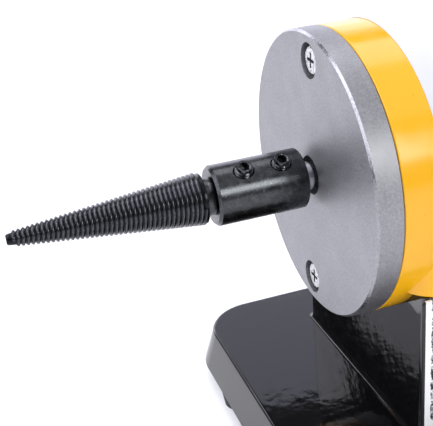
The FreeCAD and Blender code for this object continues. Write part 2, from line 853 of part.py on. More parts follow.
def rotor():
    profile = [
        (-shaft_end, 0),
        (-shaft_end, shaft_radius),
        (bearing_left_end, shaft_radius),
        (bearing_left_end, shoulder_radius),
        (core_start - winding_overhang, shoulder_radius),
        (core_start - winding_overhang, core_seat_radius),
        (commutator_end, core_seat_radius),
        (commutator_end, shoulder_radius),
        (bearing_right_end, shoulder_radius),
        (bearing_right_end, shaft_radius),
        (shaft_end, shaft_radius),
        (shaft_end, 0),
    ]
    save("motor_shaft", turned_x(profile))

    core = ring_x(core_start, core_end, core_radius, core_seat_radius + seat_gap)
    windings = []
    slot_bottom = core_radius - slot_depth
    slot_top = core_radius - tooth_tip
    for number in range(slot_count):
        turn = 360 * number / slot_count
        low = axis_height + slot_bottom
        high = axis_height + slot_top
        slot = block(core_start - overrun, core_end + overrun, -slot_width / 2, slot_width / 2, low, high)
        mouth = block(core_start - overrun, core_end + overrun, -slot_mouth / 2, slot_mouth / 2, low,
                      axis_height + core_radius + overrun)
        half_wire = slot_width / 2 - wire_gap
        wire = block(
            core_start - overrun / 2, core_end + overrun / 2, -half_wire, half_wire,
            low + wire_gap, high - wire_gap,
        )
        for tool in (slot, mouth, wire):
            tool.rotate(FreeCAD.Vector(0, 0, axis_height), FreeCAD.Vector(1, 0, 0), turn)
        core = core.cut(slot).cut(mouth)
        windings.append(wire)
    save("armature_core", core)

    outer = core_radius - winding_rim_gap
    soft = winding_overhang / 3
    ends = []
    rear_overhang = winding_overhang - riser_length
    for place, way, length in ((core_start, -1, winding_overhang), (core_end, 1, rear_overhang)):
        ends.append(turned_x([
            (place, winding_inner_radius),
            (place, outer),
            (place + way * (length - soft), outer),
            (place + way * length, outer - soft),
            (place + way * length, winding_inner_radius + soft / 2),
            (place + way * (length - soft / 2), winding_inner_radius),
        ]))
    save("armature_windings", fuse_all(ends + windings))

    bars = turned_x([
        (commutator_start, core_seat_radius + seat_gap),
        (commutator_start, riser_radius),
        (commutator_start + riser_length, riser_radius),
        (commutator_start + riser_length, commutator_radius),
        (commutator_end, commutator_radius),
        (commutator_end, core_seat_radius + seat_gap),
    ])
    for number in range(commutator_bars):
        slit = block(
            commutator_start - overrun, commutator_end + overrun, -commutator_slit / 2, commutator_slit / 2,
            axis_height + commutator_radius - commutator_slit_depth, axis_height + riser_radius + overrun,
        )
        turn = 360 * number / commutator_bars
        slit.rotate(FreeCAD.Vector(0, 0, axis_height), FreeCAD.Vector(1, 0, 0), turn)
        bars = bars.cut(slit)
    save("commutator", bars)


def spindle(side, name):
    """Collar, neck and tapered screw in one piece, drawn for the right end."""
    taper_start = collar_far + neck_length
    turns = int(taper_length / taper_pitch)
    profile = [
        (collar_near, 0),
        (collar_near, collar_radius - collar_chamfer / 2),
        (collar_near + collar_chamfer / 2, collar_radius),
        (collar_far - collar_chamfer, collar_radius),
        (collar_far, collar_radius - collar_chamfer),
        (collar_far, neck_radius),
        (taper_start, neck_radius),
    ]
    half_crest = thread_crest / 2
    for number in range(turns):
        middle = taper_start + taper_pitch * (number + 0.5)
        share = (middle - taper_start) / taper_length
        crest = taper_large_radius + (taper_tip_radius - taper_large_radius) * share
        profile.append((middle - taper_pitch / 2, crest - thread_depth))
        profile.append((middle - half_crest, crest))
        profile.append((middle + half_crest, crest))
    end = taper_start + taper_pitch * turns
    profile.append((end, taper_tip_radius - thread_depth / 2))
    profile.append((end, 0))
    body = turned_x(profile)
    holes = [rod_x(collar_near - overrun, collar_near + collar_bore_depth, shaft_radius + race_clearance)]
    screws = []
    for place in setscrew_places():
        holes.append(radial_rod(place, 0, collar_radius + overrun, setscrew_radius + thread_clearance))
        sink = radial_cone(place)
        holes.append(sink)
    body = cut_all(body, holes)
    save("spindle_" + name, mirrored(body, side))
    for place in setscrew_places():
        start = shaft_radius + thread_clearance
        screw = radial_rod(place, start, collar_radius + setscrew_stand, setscrew_radius)
        socket = hexagon(
            setscrew_hex_width, setscrew_hex_depth + overrun,
            FreeCAD.Vector(place, 0, axis_height + collar_radius + setscrew_stand - setscrew_hex_depth),
            FreeCAD.Vector(0, 0, 1),
        )
        tilt_to_front(socket)
        screws.append(mirrored(screw.cut(socket), side))
    save("setscrews_" + name, *screws)


def setscrew_places():
    return [collar_near + setscrew_first, collar_near + setscrew_first + setscrew_pitch]


def tilt_to_front(shape):
    """Turns a shape that stands straight up towards the front by the set screws' tilt."""
    shape.rotate(FreeCAD.Vector(0, 0, axis_height), FreeCAD.Vector(1, 0, 0), 90 - setscrew_tilt)


def radial_rod(place, start, end, radius):
    rod = rod_z(axis_height + start, axis_height + end, radius, place, 0)
    tilt_to_front(rod)
    return rod


def radial_cone(place):
    """The shallow countersink at a set screw's hole."""
    surface = axis_height + collar_radius
    cone = Part.makeCone(
        setscrew_radius, setscrew_sink_radius, setscrew_sink_depth,
        FreeCAD.Vector(place, 0, surface - setscrew_sink_depth),
    )
    top = rod_z(surface, surface + overrun, setscrew_sink_radius, place, 0)
    cone = cone.fuse(top)
    tilt_to_front(cone)
    return cone


def front_panel():
    width = pedestal_length - 2 * panel_side_margin
    top = saddle_top - panel_top_margin
    height = top - panel_bottom
    middle = (top + panel_bottom) / 2
    plate = front_plate(width, height, panel_corner_radius, panel_face, pedestal_front, 0, middle)
    start = panel_face - overrun
    end = pedestal_front + overrun
    save("front_panel", cut_all(plate, [switch_cutout(start, end), bushing_hole(start, end)]))


def power_switch():
    bezel_front = panel_face - switch_bezel_thickness
    body_back = panel_face + switch_body_depth
    pivot = bezel_front + rocker_pivot_depth
    housing = front_plate(
        switch_bezel_width, switch_bezel_height, switch_bezel_radius, bezel_front, panel_face,
        switch_place, control_height,
    )
    body = block(
        switch_place - switch_body_width / 2, switch_place + switch_body_width / 2, panel_face, body_back,
        control_height - switch_body_height / 2, control_height + switch_body_height / 2,
    )
    tabs = []
    for up in sides:
        z = control_height + up * switch_tab_spacing / 2
        tabs.append(block(
            switch_place - switch_tab_width / 2, switch_place + switch_tab_width / 2,
            body_back - overrun / 5, body_back + switch_tab_length,
            z - switch_tab_thickness / 2, z + switch_tab_thickness / 2,
        ))
    housing = fuse_all([housing, body] + tabs)
    half_width = rocker_width / 2 + rocker_side_gap
    half_height = rocker_half_height + rocker_end_gap
    well = block(
        switch_place - half_width, switch_place + half_width, bezel_front - overrun,
        pivot + rocker_belly + rocker_side_gap, control_height - half_height, control_height + half_height,
    )
    pin_reach = rocker_width / 2 + rocker_pin_length
    sockets = rod_x(
        switch_place - pin_reach - rocker_pin_clearance, switch_place + pin_reach + rocker_pin_clearance,
        rocker_pin_radius + rocker_pin_clearance, pivot, control_height,
    )
    save("switch_housing", cut_all(housing, [well, sockets]))

    def spot(out, up):
        return FreeCAD.Vector(switch_place - rocker_width / 2, pivot - out, control_height + up)

    crown_top = spot(rocker_crown, rocker_half_height)
    crown_low = spot(rocker_crown, -rocker_half_height)
    root_top = spot(-rocker_root, rocker_root_half_height)
    root_low = spot(-rocker_root, -rocker_root_half_height)
    outline = Part.Wire([
        Part.Arc(crown_low, spot(rocker_valley, 0), crown_top).toShape(),
        Part.makePolygon([crown_top, root_top]).Edges[0],
        Part.Arc(root_top, spot(-rocker_belly, 0), root_low).toShape(),
        Part.makePolygon([root_low, crown_low]).Edges[0],
    ])
    rocker = Part.Face(outline).extrude(FreeCAD.Vector(rocker_width, 0, 0))
    pins = rod_x(switch_place - pin_reach, switch_place + pin_reach, rocker_pin_radius, pivot, control_height)
    rocker = rocker.fuse(pins)
    rocker.rotate(FreeCAD.Vector(0, pivot, control_height), FreeCAD.Vector(1, 0, 0), rocker_tilt)
    save("switch_rocker", rocker)


def speed_control():
    bushing_end = panel_face - bushing_stand
    pot_back = pedestal_inner_front + pot_depth
    body = rod_y(pedestal_inner_front, pot_back, pot_radius, knob_place, control_height)
    bushing = rod_y(bushing_end, pot_back, bushing_radius, knob_place, control_height)
    bore = rod_y(
        bushing_end - overrun, pedestal_inner_front + pot_shaft_inner + pot_shaft_clearance,
        pot_shaft_radius + pot_shaft_clearance, knob_place, control_height,
    )
    save("potentiometer", body.fuse(bushing).cut(bore))
    nut = hexagon(
        pot_nut_width, pot_nut_height, FreeCAD.Vector(knob_place, panel_face, control_height),
        FreeCAD.Vector(0, -1, 0),
    )
    tapped = bushing_radius + thread_clearance
    thread = rod_y(bushing_end, panel_face + overrun, tapped, knob_place, control_height)
    save("potentiometer_nut", nut.cut(thread))

    knob_back = panel_face - pot_nut_height - knob_gap
    knob_front = knob_back - knob_height
    shaft_tip = knob_front + knob_roof
    stem = rod_y(
        shaft_tip, pedestal_inner_front + pot_shaft_inner, pot_shaft_radius, knob_place, control_height
    )
    save("potentiometer_shaft", stem)

    knob = rod_y(knob_front, knob_back, knob_radius, knob_place, control_height)
    knob = round_edges(knob, knob_edge, lambda box: abs(box.YMax - knob_front) < edge_tolerance)
    foot = rod_y(knob_back - knob_foot_height, knob_back, knob_foot_radius, knob_place, control_height)
    tools = []
    for number in range(knob_flute_count):
        turn = 2 * math.pi * (number + 0.5) / knob_flute_count
        reach = knob_radius + knob_flute_radius / 2
        tools.append(rod_y(
            knob_front - overrun, knob_back - knob_foot_height, knob_flute_radius,
            knob_place + reach * math.cos(turn), control_height + reach * math.sin(turn),
        ))
    tools.append(rod_y(
        shaft_tip, knob_back + overrun, pot_shaft_radius + seat_gap, knob_place, control_height
    ))
    tools.append(rod_y(
        bushing_end - knob_gap, knob_back + overrun, knob_hub_radius, knob_place, control_height
    ))
    mark = block(
        knob_place - knob_mark_width / 2, knob_place + knob_mark_width / 2,
        knob_front - overrun, knob_front + knob_mark_depth,
        control_height + knob_radius / 3, control_height + knob_radius + overrun,
    )
    mark.rotate(FreeCAD.Vector(knob_place, 0, control_height), FreeCAD.Vector(0, 1, 0), -knob_turn / 2)
    tools.append(mark)
    save("speed_knob", cut_all(fuse_all([knob, foot]), tools))


def cable_gland():
    wall = -pedestal_front
    inner_wall = -pedestal_inner_front
    flange_end = wall + gland_flange_height
    nut_start = flange_end + gland_nut_gap
    nut_end = nut_start + gland_nut_height
    tail_end = inner_wall - gland_tail
    centre = FreeCAD.Vector(gland_place, wall, gland_height)

    tail_bore = rod_y(tail_end - overrun, nut_end, gland_tail_bore_radius, gland_place, gland_height)
    thread = rod_y(tail_end, nut_end - gland_dome, gland_thread_radius, gland_place, gland_height)
    collar = hexagon(gland_flange_width, gland_flange_height, centre, gland_axis)
    body = fuse_all([collar, thread])
    seal_radius = gland_bore_radius + gland_seal_wall
    seal_seat = seal_radius + thread_clearance
    seal_bore = rod_y(flange_end, nut_end + overrun, seal_seat, gland_place, gland_height)
    save("cable_gland", cut_all(body, [tail_bore, seal_bore]))

    seal = rod_y(flange_end, nut_end - gland_dome, seal_radius, gland_place, gland_height)
    mouth = rod_y(wall, nut_end + overrun, gland_bore_radius, gland_place, gland_height)
    save("gland_seal", seal.cut(mouth))

    nut = hexagon(
        gland_nut_width, gland_nut_height - gland_dome, FreeCAD.Vector(gland_place, nut_start, gland_height),
        gland_axis,
    )
    dome = Part.makeCone(
        gland_nut_width / 2, gland_thread_radius, gland_dome,
        FreeCAD.Vector(gland_place, nut_end - gland_dome, gland_height), gland_axis,
    )
    threaded = rod_y(
        nut_start - overrun, nut_end - gland_dome, gland_thread_radius + thread_clearance,
        gland_place, gland_height,
    )
    save("gland_nut", cut_all(nut.fuse(dome), [threaded, mouth]))

    lock = hexagon(
        gland_lock_width, gland_lock_height, FreeCAD.Vector(gland_place, inner_wall, gland_height),
        FreeCAD.Vector(0, -1, 0),
    )
    lock_hole = rod_y(
        inner_wall - gland_lock_height - overrun, inner_wall + overrun,
        gland_thread_radius + thread_clearance, gland_place, gland_height,
    )
    save("gland_locknut", lock.cut(lock_hole))


def standoff_places():
    reach_x = board_length / 2 - standoff_inset
    reach_y = board_depth / 2 - standoff_inset
    return [(board_middle + sx * reach_x, sy * reach_y) for sx in sides for sy in sides]


def control_board():
    board = block(
        board_middle - board_length / 2, board_middle + board_length / 2, -board_depth / 2, board_depth / 2,
        board_base, board_top,
    )
    standoffs = []
    screws = []
    for x, y in standoff_places():
        hole_radius = board_screw_radius + screw_clearance
        board = board.cut(rod_z(board_base - overrun, board_top + overrun, hole_radius, x, y))
        post = rod_z(cover_top, board_base, standoff_radius, x, y)
        bore = rod_z(cover_top - overrun, board_base + overrun, board_screw_radius + thread_clearance, x, y)
        standoffs.append(post.cut(bore))
        head_height = board_screw_head_height
        top_head = rod_z(board_top, board_top + head_height, board_screw_head_radius, x, y)
        top_tip = board_base + board_thickness - board_screw_length / 2
        top_shank = rod_z(top_tip, board_top + head_height / 2, board_screw_radius, x, y)
        low_head = rod_z(foot_height - head_height, foot_height, board_screw_head_radius, x, y)
        low_tip = cover_top + board_screw_length / 2
        low_shank = rod_z(foot_height - head_height / 2, low_tip, board_screw_radius, x, y)
        screws += [top_head.fuse(top_shank), low_head.fuse(low_shank)]
    save("circuit_board", board)
    save("board_standoffs", *standoffs)
    save("board_screws", *screws)

    half = sink_length / 2
    sink = [block(sink_place - half, sink_place - half + sink_base, -sink_depth / 2, sink_depth / 2,
                  board_top, board_top + sink_height)]
    pitch = (sink_depth - sink_fin) / (sink_fin_count - 1)
    fin_start = sink_place - half + sink_base / 2
    for number in range(sink_fin_count):
        y = -sink_depth / 2 + pitch * number
        sink.append(block(fin_start, sink_place + half - thyristor_thickness, y, y + sink_fin,
                          board_top, board_top + sink_height))
    save("heat_sink", fuse_all(sink))
    face = sink_place - half
    save("thyristor", block(
        face - thyristor_thickness, face, -thyristor_width / 2, thyristor_width / 2,
        board_top, board_top + thyristor_height,
    ))
    save("bridge_rectifier", block(
        bridge_place - bridge_size / 2, bridge_place + bridge_size / 2,
        bridge_offset - bridge_size / 2, bridge_offset + bridge_size / 2,
        board_top, board_top + bridge_height,
    ))
    can = rod_z(board_top, board_top + capacitor_height, capacitor_radius, capacitor_place, capacitor_offset)
    save("filter_capacitor", round_edges(
        can, capacitor_radius / 8,
        lambda box: abs(box.ZMin - board_top - capacitor_height) < edge_tolerance,
    ))
    ring = Part.makeTorus(
        choke_radius - choke_tube_radius / 2, choke_tube_radius,
        FreeCAD.Vector(choke_place, choke_offset, board_top + choke_tube_radius), FreeCAD.Vector(0, 0, 1),
    )
    save("suppression_choke", ring)
    terminal = block(
        terminal_place - terminal_length / 2, terminal_place + terminal_length / 2,
        terminal_offset - terminal_depth / 2, terminal_offset + terminal_depth / 2,
        board_top, board_top + terminal_height,
    )
    pitch = terminal_length / terminal_ways
    top = board_top + terminal_height
    for number in range(terminal_ways):
        x = terminal_place + pitch * (number + 0.5) - terminal_length / 2
        terminal = terminal.cut(rod_z(top - pitch / 2, top + overrun, pitch / 3, x, terminal_offset))
    save("terminal_block", terminal)


def routed_tube(points, radius, bend):
    """A lead along straight runs that are joined by arcs of one bend radius."""
    edges = []
    last = points[0]
    for before, corner, after in zip(points, points[1:], points[2:]):
        back = (before - corner).normalize()
        ahead = (after - corner).normalize()
        half = back.getAngle(ahead) / 2
        setback = bend / math.tan(half)
        bisector = (back + ahead).normalize()
        start = corner + back * setback
        end = corner + ahead * setback
        middle = corner + bisector * (bend / math.sin(half) - bend)
        edges.append(Part.makePolygon([last, start]).Edges[0])
        edges.append(Part.Arc(start, middle, end).toShape())
        last = end
    edges.append(Part.makePolygon([last, points[-1]]).Edges[0])
    direction = (points[1] - points[0]).normalize()
    profile = Part.Wire(Part.makeCircle(radius, points[0], direction))
    pipe = Part.BRepOffsetAPI.MakePipeShell(Part.Wire(edges))
    pipe.add(profile)
    pipe.build()
    pipe.makeSolid()
    return pipe.shape()


def motor_leads():
    leads = []
    grommets = []
    drop_end = board_top + terminal_height
    holder_low = axis_height - holder_radius
    for side in sides:
        y = side * lead_offset
        start_y = side * (commutator_radius + holder_inner_gap + holder_radius / 2)
        clamp_x = terminal_place + side * terminal_length / terminal_ways / 2
        points = [
            FreeCAD.Vector(brush_middle, start_y, holder_low),
            FreeCAD.Vector(brush_middle, start_y, holder_low - 2 * lead_bend),
            FreeCAD.Vector(lead_place, y, holder_low - 4 * lead_bend + lead_step),
            FreeCAD.Vector(lead_place, y, (lead_wall_top + lead_skin_low) / 2 - 2 * lead_bend),
            FreeCAD.Vector(clamp_x, terminal_offset, drop_end + 2 * lead_bend),
            FreeCAD.Vector(clamp_x, terminal_offset, drop_end),
        ]
        leads.append(routed_tube(points, lead_radius, lead_bend / 2))
        low = lead_skin_low - grommet_lip
        high = lead_wall_top + grommet_lip
        sleeve = rod_z(low, high, grommet_radius, lead_place, y)
        lip = rod_z(low, lead_skin_low - grommet_clearance, grommet_lip_radius, lead_place, y)
        hole = rod_z(low - overrun, high + overrun, lead_radius + grommet_clearance, lead_place, y)
        grommets.append(sleeve.fuse(lip).cut(hole))
    save("motor_leads", *leads)
    save("lead_grommets", *grommets)


def build():
    os.makedirs("parts", exist_ok=True)
    base_casting()
    bottom_cover()
    rubber_feet()
    motor_housing()
    save("end_cap_left", end_cap(-1, 0))
    save("end_cap_right", end_cap(1, washer_thickness))
    through_bolts()
    magnets()
    left_balls, left_cage = bearing(-1, "left", 0)
    right_balls, right_cage = bearing(1, "right", washer_thickness)
    save("bearing_balls", *left_balls, *right_balls)
    save("bearing_cages", left_cage, right_cage)
    wave_washer()
    for side, place in zip(sides, ("front", "rear")):
        brush_gear(side, place)
    rotor()
    spindle(-1, "left")
    spindle(1, "right")
    front_panel()
    power_switch()
    speed_control()
    cable_gland()
    control_board()
    motor_leads()


build()
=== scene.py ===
import math

import bmesh
import bpy
from mathutils import Euler, Matrix, Vector


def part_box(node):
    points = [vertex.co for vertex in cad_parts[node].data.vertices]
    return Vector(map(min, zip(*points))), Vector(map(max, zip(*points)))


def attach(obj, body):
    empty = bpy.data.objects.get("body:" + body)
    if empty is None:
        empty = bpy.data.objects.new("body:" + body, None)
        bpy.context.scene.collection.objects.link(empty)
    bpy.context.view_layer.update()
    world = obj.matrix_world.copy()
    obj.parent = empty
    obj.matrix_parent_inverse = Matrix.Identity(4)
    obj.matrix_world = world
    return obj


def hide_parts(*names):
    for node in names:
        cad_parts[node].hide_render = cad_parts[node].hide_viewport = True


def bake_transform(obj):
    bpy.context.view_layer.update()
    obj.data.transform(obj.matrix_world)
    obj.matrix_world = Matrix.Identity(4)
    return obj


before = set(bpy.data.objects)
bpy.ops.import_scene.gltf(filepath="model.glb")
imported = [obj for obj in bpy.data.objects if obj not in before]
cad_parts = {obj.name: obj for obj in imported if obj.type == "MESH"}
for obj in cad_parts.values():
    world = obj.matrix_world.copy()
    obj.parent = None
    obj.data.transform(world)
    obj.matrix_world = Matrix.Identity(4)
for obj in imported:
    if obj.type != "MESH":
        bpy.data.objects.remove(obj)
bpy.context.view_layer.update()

# Lengths below are in mm, and MM turns them into the metres of the scene.
# X runs along the motor, -Y is the front and +Z is up. The origin lies on the bench.
MM = 0.001

# Sizes read from the frame
spindle_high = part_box("spindle_right")[1]
panel_low, panel_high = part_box("front_panel")
knob_low, knob_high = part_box("speed_knob")
rocker_low, rocker_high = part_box("switch_rocker")
cap_low, cap_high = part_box("end_cap_left")
axis_height = (cap_low.z + cap_high.z) / 2 / MM
panel_face = panel_low.y / MM

# Faces that meet at more degrees than this keep a crisp edge.
sharp_angle = 32
# Lengths below this count as nothing.
edge_tolerance = 0.01

# End caps
cap_chamfer = 0.7
chamfer_tolerance = 0.05

# Tapered screws
taper_pitch = 1.52
taper_turns = 42
taper_large_radius = 9.0
taper_tip_radius = 2.4
thread_depth = 0.6
neck_radius = 6.4
thread_sink = 0.3
thread_end_gap = 0.1
crest_wear_share = 0.2
tip_chamfer = 0.4
# Faces that lean more than this out of the plane through the axis aren't turned ones.
turned_share = 0.12
spindle_end = spindle_high.x / MM
taper_start = spindle_end - taper_pitch * taper_turns
taper_segments = 72

# Set screws in the collars
setscrew_radius = 2.98
setscrew_cad_radius = 3.0
setscrew_pitch = 1.0
setscrew_depth = 0.5
setscrew_lean = 30.0
setscrew_inner = 5.1
setscrew_outer = 12.6
setscrew_chamfer = 0.5
socket_width = 3.0
socket_depth = 2.8
socket_lead = 0.25
setscrew_segments = 48
# Share of a pitch that is left bare behind the chamfer at the socket's end
setscrew_thread_gap = 0.1

# Share of a pitch and share of the depth at the corners of a thread's outline
thread_outline = ((0.06, 0.0), (0.34, 1.0), (0.66, 1.0), (0.94, 0.0))
# A thread's ends have this share of its height for this share of a turn, and then rise at this rate.
thread_end_height = 0.35
thread_end_turn = 0.3
thread_end_rise = 2

# Print on the front panel
# Width of the black strip of painted shade along the panel's sides and bottom
panel_gap_shade = 0.9
panel_wander = 0.5
panel_border = 3.2
dial_turn = 280.0
dial_steps = 10
dial_plate_inner = 6.3
dial_plate_radius = 21.0
dial_plate_thickness = 0.12
dial_tick_inner = 14.2
dial_tick_outer = 16.2
dial_tick_width = 0.45
dial_number_radius = 18.4
dial_number_height = 2.6
dial_segments = 96
# Size of a font over the height of its digits
font_share = 1.4
print_thickness = 0.05

# White line in the knob's groove
knob_foot_ring = 0.8
knob_mark_width = 1.1
knob_mark_sunk = 0.1
knob_mark_depth = 0.5
knob_mark_inner_share = 1 / 3
knob_mark_inner_gap = 0.05
knob_mark_outer_gap = 1.0

# Marks on the rocker, whose face is hollow with a radius of rocker_dish
rocker_pivot_drop = 0.7
rocker_pivot_height = 50.0
rocker_tilt = 11.0
rocker_valley = 3.2
rocker_dish = 23.4
rocker_mark_out = 4.6
rocker_mark_size = 1.5
rocker_mark_width = 0.45
rocker_mark_segments = 40

# Patterns: how much fine detail a noise has, and the middle part of its range that is used
fine_detail = {"Detail": 3.0, "Roughness": 0.55}
some_detail = {"Detail": 2.0, "Roughness": 0.55}
soft_detail = {"Detail": 1.0, "Roughness": 0.55}
middle_range = {"From Min": 0.3, "From Max": 0.7}
# Sockets of the Mix node that carry colours
mix_first = 6
mix_second = 7
mix_result = 2
# Refraction index of plastics, rubber, vinyl and lacquer
common_ior = 1.5
enamel_ior = 1.65

# Studio
front_sky = 0.30
back_sky = 0.06
sky_blend = 0.3
floor_glow = 0.1
floor_cloud_size = 400.0
floor_size = 16000
studio_centre = Vector((-80, 0, 40))
studio_distance = 5000
# Softboxes as the machine sees them: azimuths and elevations in degrees, radiance and colour.
# Azimuth 0 lies behind the machine and 90 on its right. The last number, if any, is the box's roll.
softboxes = {
    "back_wall_low": ((-13, 42), (1, 29.5), 2.2, "#f0f0ff"),
    "back_wall": ((-13, 42), (29.5, 37), 0.95, "#e9e9ff"),
    "left_back_box": ((-22.6, -13), (1, 38), 4.0, "#f4f4ff"),
    "left_box": ((-34.0, -27.4), (28.7, 33.1), 4.2, "#f4f4ff", 38.0),
    "left_low_box": ((-112, -52), (6, 34), 3.0, "#f4f4ff"),
    "left_high_box": ((-115, -55), (36, 58), 4.0, "#f4f4ff"),
    "key_box": ((150, 172), (19, 37), 10.5, "#ffffff"),
    "ceiling_back": ((-62, 62), (52, 80), 3.0, "#f8f8ff"),
    "ceiling_front": ((107, 253), (52, 100), 0.8, "#f8f8ff"),
}

# Camera
image_width = 433
focal_pixels = 932.0
camera_place = Vector((-195.86, -267.5, 231.35))
camera_turn = Euler([math.radians(angle) for angle in (64.595, 4.772, -18.472)])
sensor_width = 36.0


def linear(colour):
    """An sRGB hex colour as linear red, green, blue and alpha."""
    channels = [int(colour[k:k + 2], 16) / 255 for k in (1, 3, 5)]
    return [c / 12.92 if c <= 0.04045 else ((c + 0.055) / 1.055) ** 2.4 for c in channels] + [1.0]


def feed(tree, made, inputs):
    """Sets each input of a node to a plain value, or links it to the output that feeds it."""
    for name, value in inputs.items():
        if isinstance(value, bpy.types.NodeSocket):
            tree.links.new(value, made.inputs[name])
        else:
            made.inputs[name].default_value = value


def node(tree, kind, inputs, output=0, **settings):
    """Adds a node with its settings and links, and gives one of its outputs."""
    made = tree.nodes.new(kind)
    for name, value in settings.items():
        setattr(made, name, value)
    feed(tree, made, inputs)
    return made.outputs[output]


def place_in_mm(tree):
    """The place on the object in mm, so every pattern below is scaled by its real size."""
    there = node(tree, "ShaderNodeTexCoord", {}, "Object")
    return node(tree, "ShaderNodeVectorMath", {0: there, 1: (1 / MM,) * 3}, operation="MULTIPLY")


def reach_from_axis(tree, parts):
    """Distance from the motor's axis in mm."""
    level = node(tree, "ShaderNodeMath", {0: parts["Z"], 1: axis_height}, operation="SUBTRACT")
    across = node(tree, "ShaderNodeCombineXYZ", {"Y": parts["Y"], "Z": level})
    return node(tree, "ShaderNodeVectorMath", {0: across}, "Value", operation="LENGTH")


def blank(name):
    """An empty material: returns the material, its tree and its shader."""
    material = bpy.data.materials.new(name)
    material.use_nodes = True
    tree = material.node_tree
    shader = next(n for n in tree.nodes if n.type == "BSDF_PRINCIPLED")
    return material, tree, shader


def surface(name, colour, other, size, roughness, uneven, depth, metallic):
    """A material that varies between two colours, between two grades of gloss, and in height.

    Size is how wide its features are and depth is how high they stand, both in mm.
    """
    material, tree, shader = blank(name)
    place = place_in_mm(tree)
    pattern = node(tree, "ShaderNodeTexNoise", {"Vector": place, "Scale": 1 / size, **fine_detail}, "Fac")
    share = node(tree, "ShaderNodeMapRange", {"Value": pattern, **middle_range})
    tone = node(tree, "ShaderNodeMix", {
        "Factor": share, mix_first: linear(colour), mix_second: linear(other),
    }, mix_result, data_type="RGBA")
    gloss = node(tree, "ShaderNodeMapRange", {
        "Value": pattern, **middle_range, "To Min": roughness - uneven, "To Max": roughness + uneven,
    })
    feed(tree, shader, {"Base Color": tone, "Roughness": gloss, "Metallic": metallic})
    if metallic == 0:
        feed(tree, shader, {"IOR": common_ior})
    if depth:
        feed(tree, shader, {
            "Normal": node(tree, "ShaderNodeBump", {"Height": pattern, "Distance": depth * MM}),
        })
    return material


def black_enamel():
    """Stove enamel: deep black and glossy, with a sprayed coat's slight ripple in its reflections."""
    dust_size = 7.0
    ripple_size = 5.0
    ripple_depth = 0.03
    orange_peel_size = 1.3
    orange_peel_depth = 0.004
    material, tree, shader = blank("black_enamel")
    place = place_in_mm(tree)
    dust = node(tree, "ShaderNodeTexNoise", {"Vector": place, "Scale": 1 / dust_size, **fine_detail}, "Fac")
    gloss = node(tree, "ShaderNodeMapRange", {
        "Value": dust, **middle_range, "To Min": 0.03, "To Max": 0.07,
    })
    wide = node(tree, "ShaderNodeTexNoise", {
        "Vector": place, "Scale": 1 / ripple_size, **soft_detail,
    }, "Fac")
    ripple = node(tree, "ShaderNodeBump", {"Height": wide, "Distance": ripple_depth * MM})
    small = node(tree, "ShaderNodeTexNoise", {
        "Vector": place, "Scale": 1 / orange_peel_size, **soft_detail,
    }, "Fac")
    orange_peel = node(tree, "ShaderNodeBump", {
        "Height": small, "Distance": orange_peel_depth * MM, "Normal": ripple,
    })
    feed(tree, shader, {
        "Base Color": linear("#0b0b0c"), "IOR": enamel_ior, "Roughness": gloss, "Normal": orange_peel,
    })
    return material


def yellow_enamel():
    """Yellow stove enamel: an even, saturated colour under a smooth gloss, with a few small scuffs."""
    shade_size = 30.0
    scuff_size = 1.6
    gloss_size = 4.0
    ripple_size = 3.0
    ripple_depth = 0.006
    material, tree, shader = blank("yellow_enamel")
    place = place_in_mm(tree)
    cloud = node(tree, "ShaderNodeTexNoise", {
        "Vector": place, "Scale": 1 / shade_size, **fine_detail,
    }, "Fac")
    shade = node(tree, "ShaderNodeMapRange", {"Value": cloud, **middle_range})
    paint = node(tree, "ShaderNodeMix", {
        "Factor": shade, mix_first: linear("#f0b218"), mix_second: linear("#eeae12"),
    }, mix_result, data_type="RGBA")
    # Scuffs are the rare peaks of a pattern, so they are about 1 mm across and far apart.
    peaks = node(tree, "ShaderNodeTexNoise", {
        "Vector": place, "Scale": 1 / scuff_size, **some_detail,
    }, "Fac")
    scuffs = node(tree, "ShaderNodeMapRange", {"Value": peaks, "From Min": 0.755, "From Max": 0.80})
    colour = node(tree, "ShaderNodeMix", {
        "Factor": scuffs, mix_first: paint, mix_second: linear("#8a5a24"),
    }, mix_result, data_type="RGBA")
    sheen = node(tree, "ShaderNodeTexNoise", {
        "Vector": place, "Scale": 1 / gloss_size, **fine_detail,
    }, "Fac")
    gloss = node(tree, "ShaderNodeMapRange", {
        "Value": sheen, **middle_range, "To Min": 0.14, "To Max": 0.22,
    })
    wide = node(tree, "ShaderNodeTexNoise", {
        "Vector": place, "Scale": 1 / ripple_size, **soft_detail,
    }, "Fac")
    ripple = node(tree, "ShaderNodeBump", {"Height": wide, "Distance": ripple_depth * MM})
    feed(tree, shader, {
        "Base Color": colour, "IOR": common_ior, "Roughness": gloss, "Normal": ripple,
    })
    return material


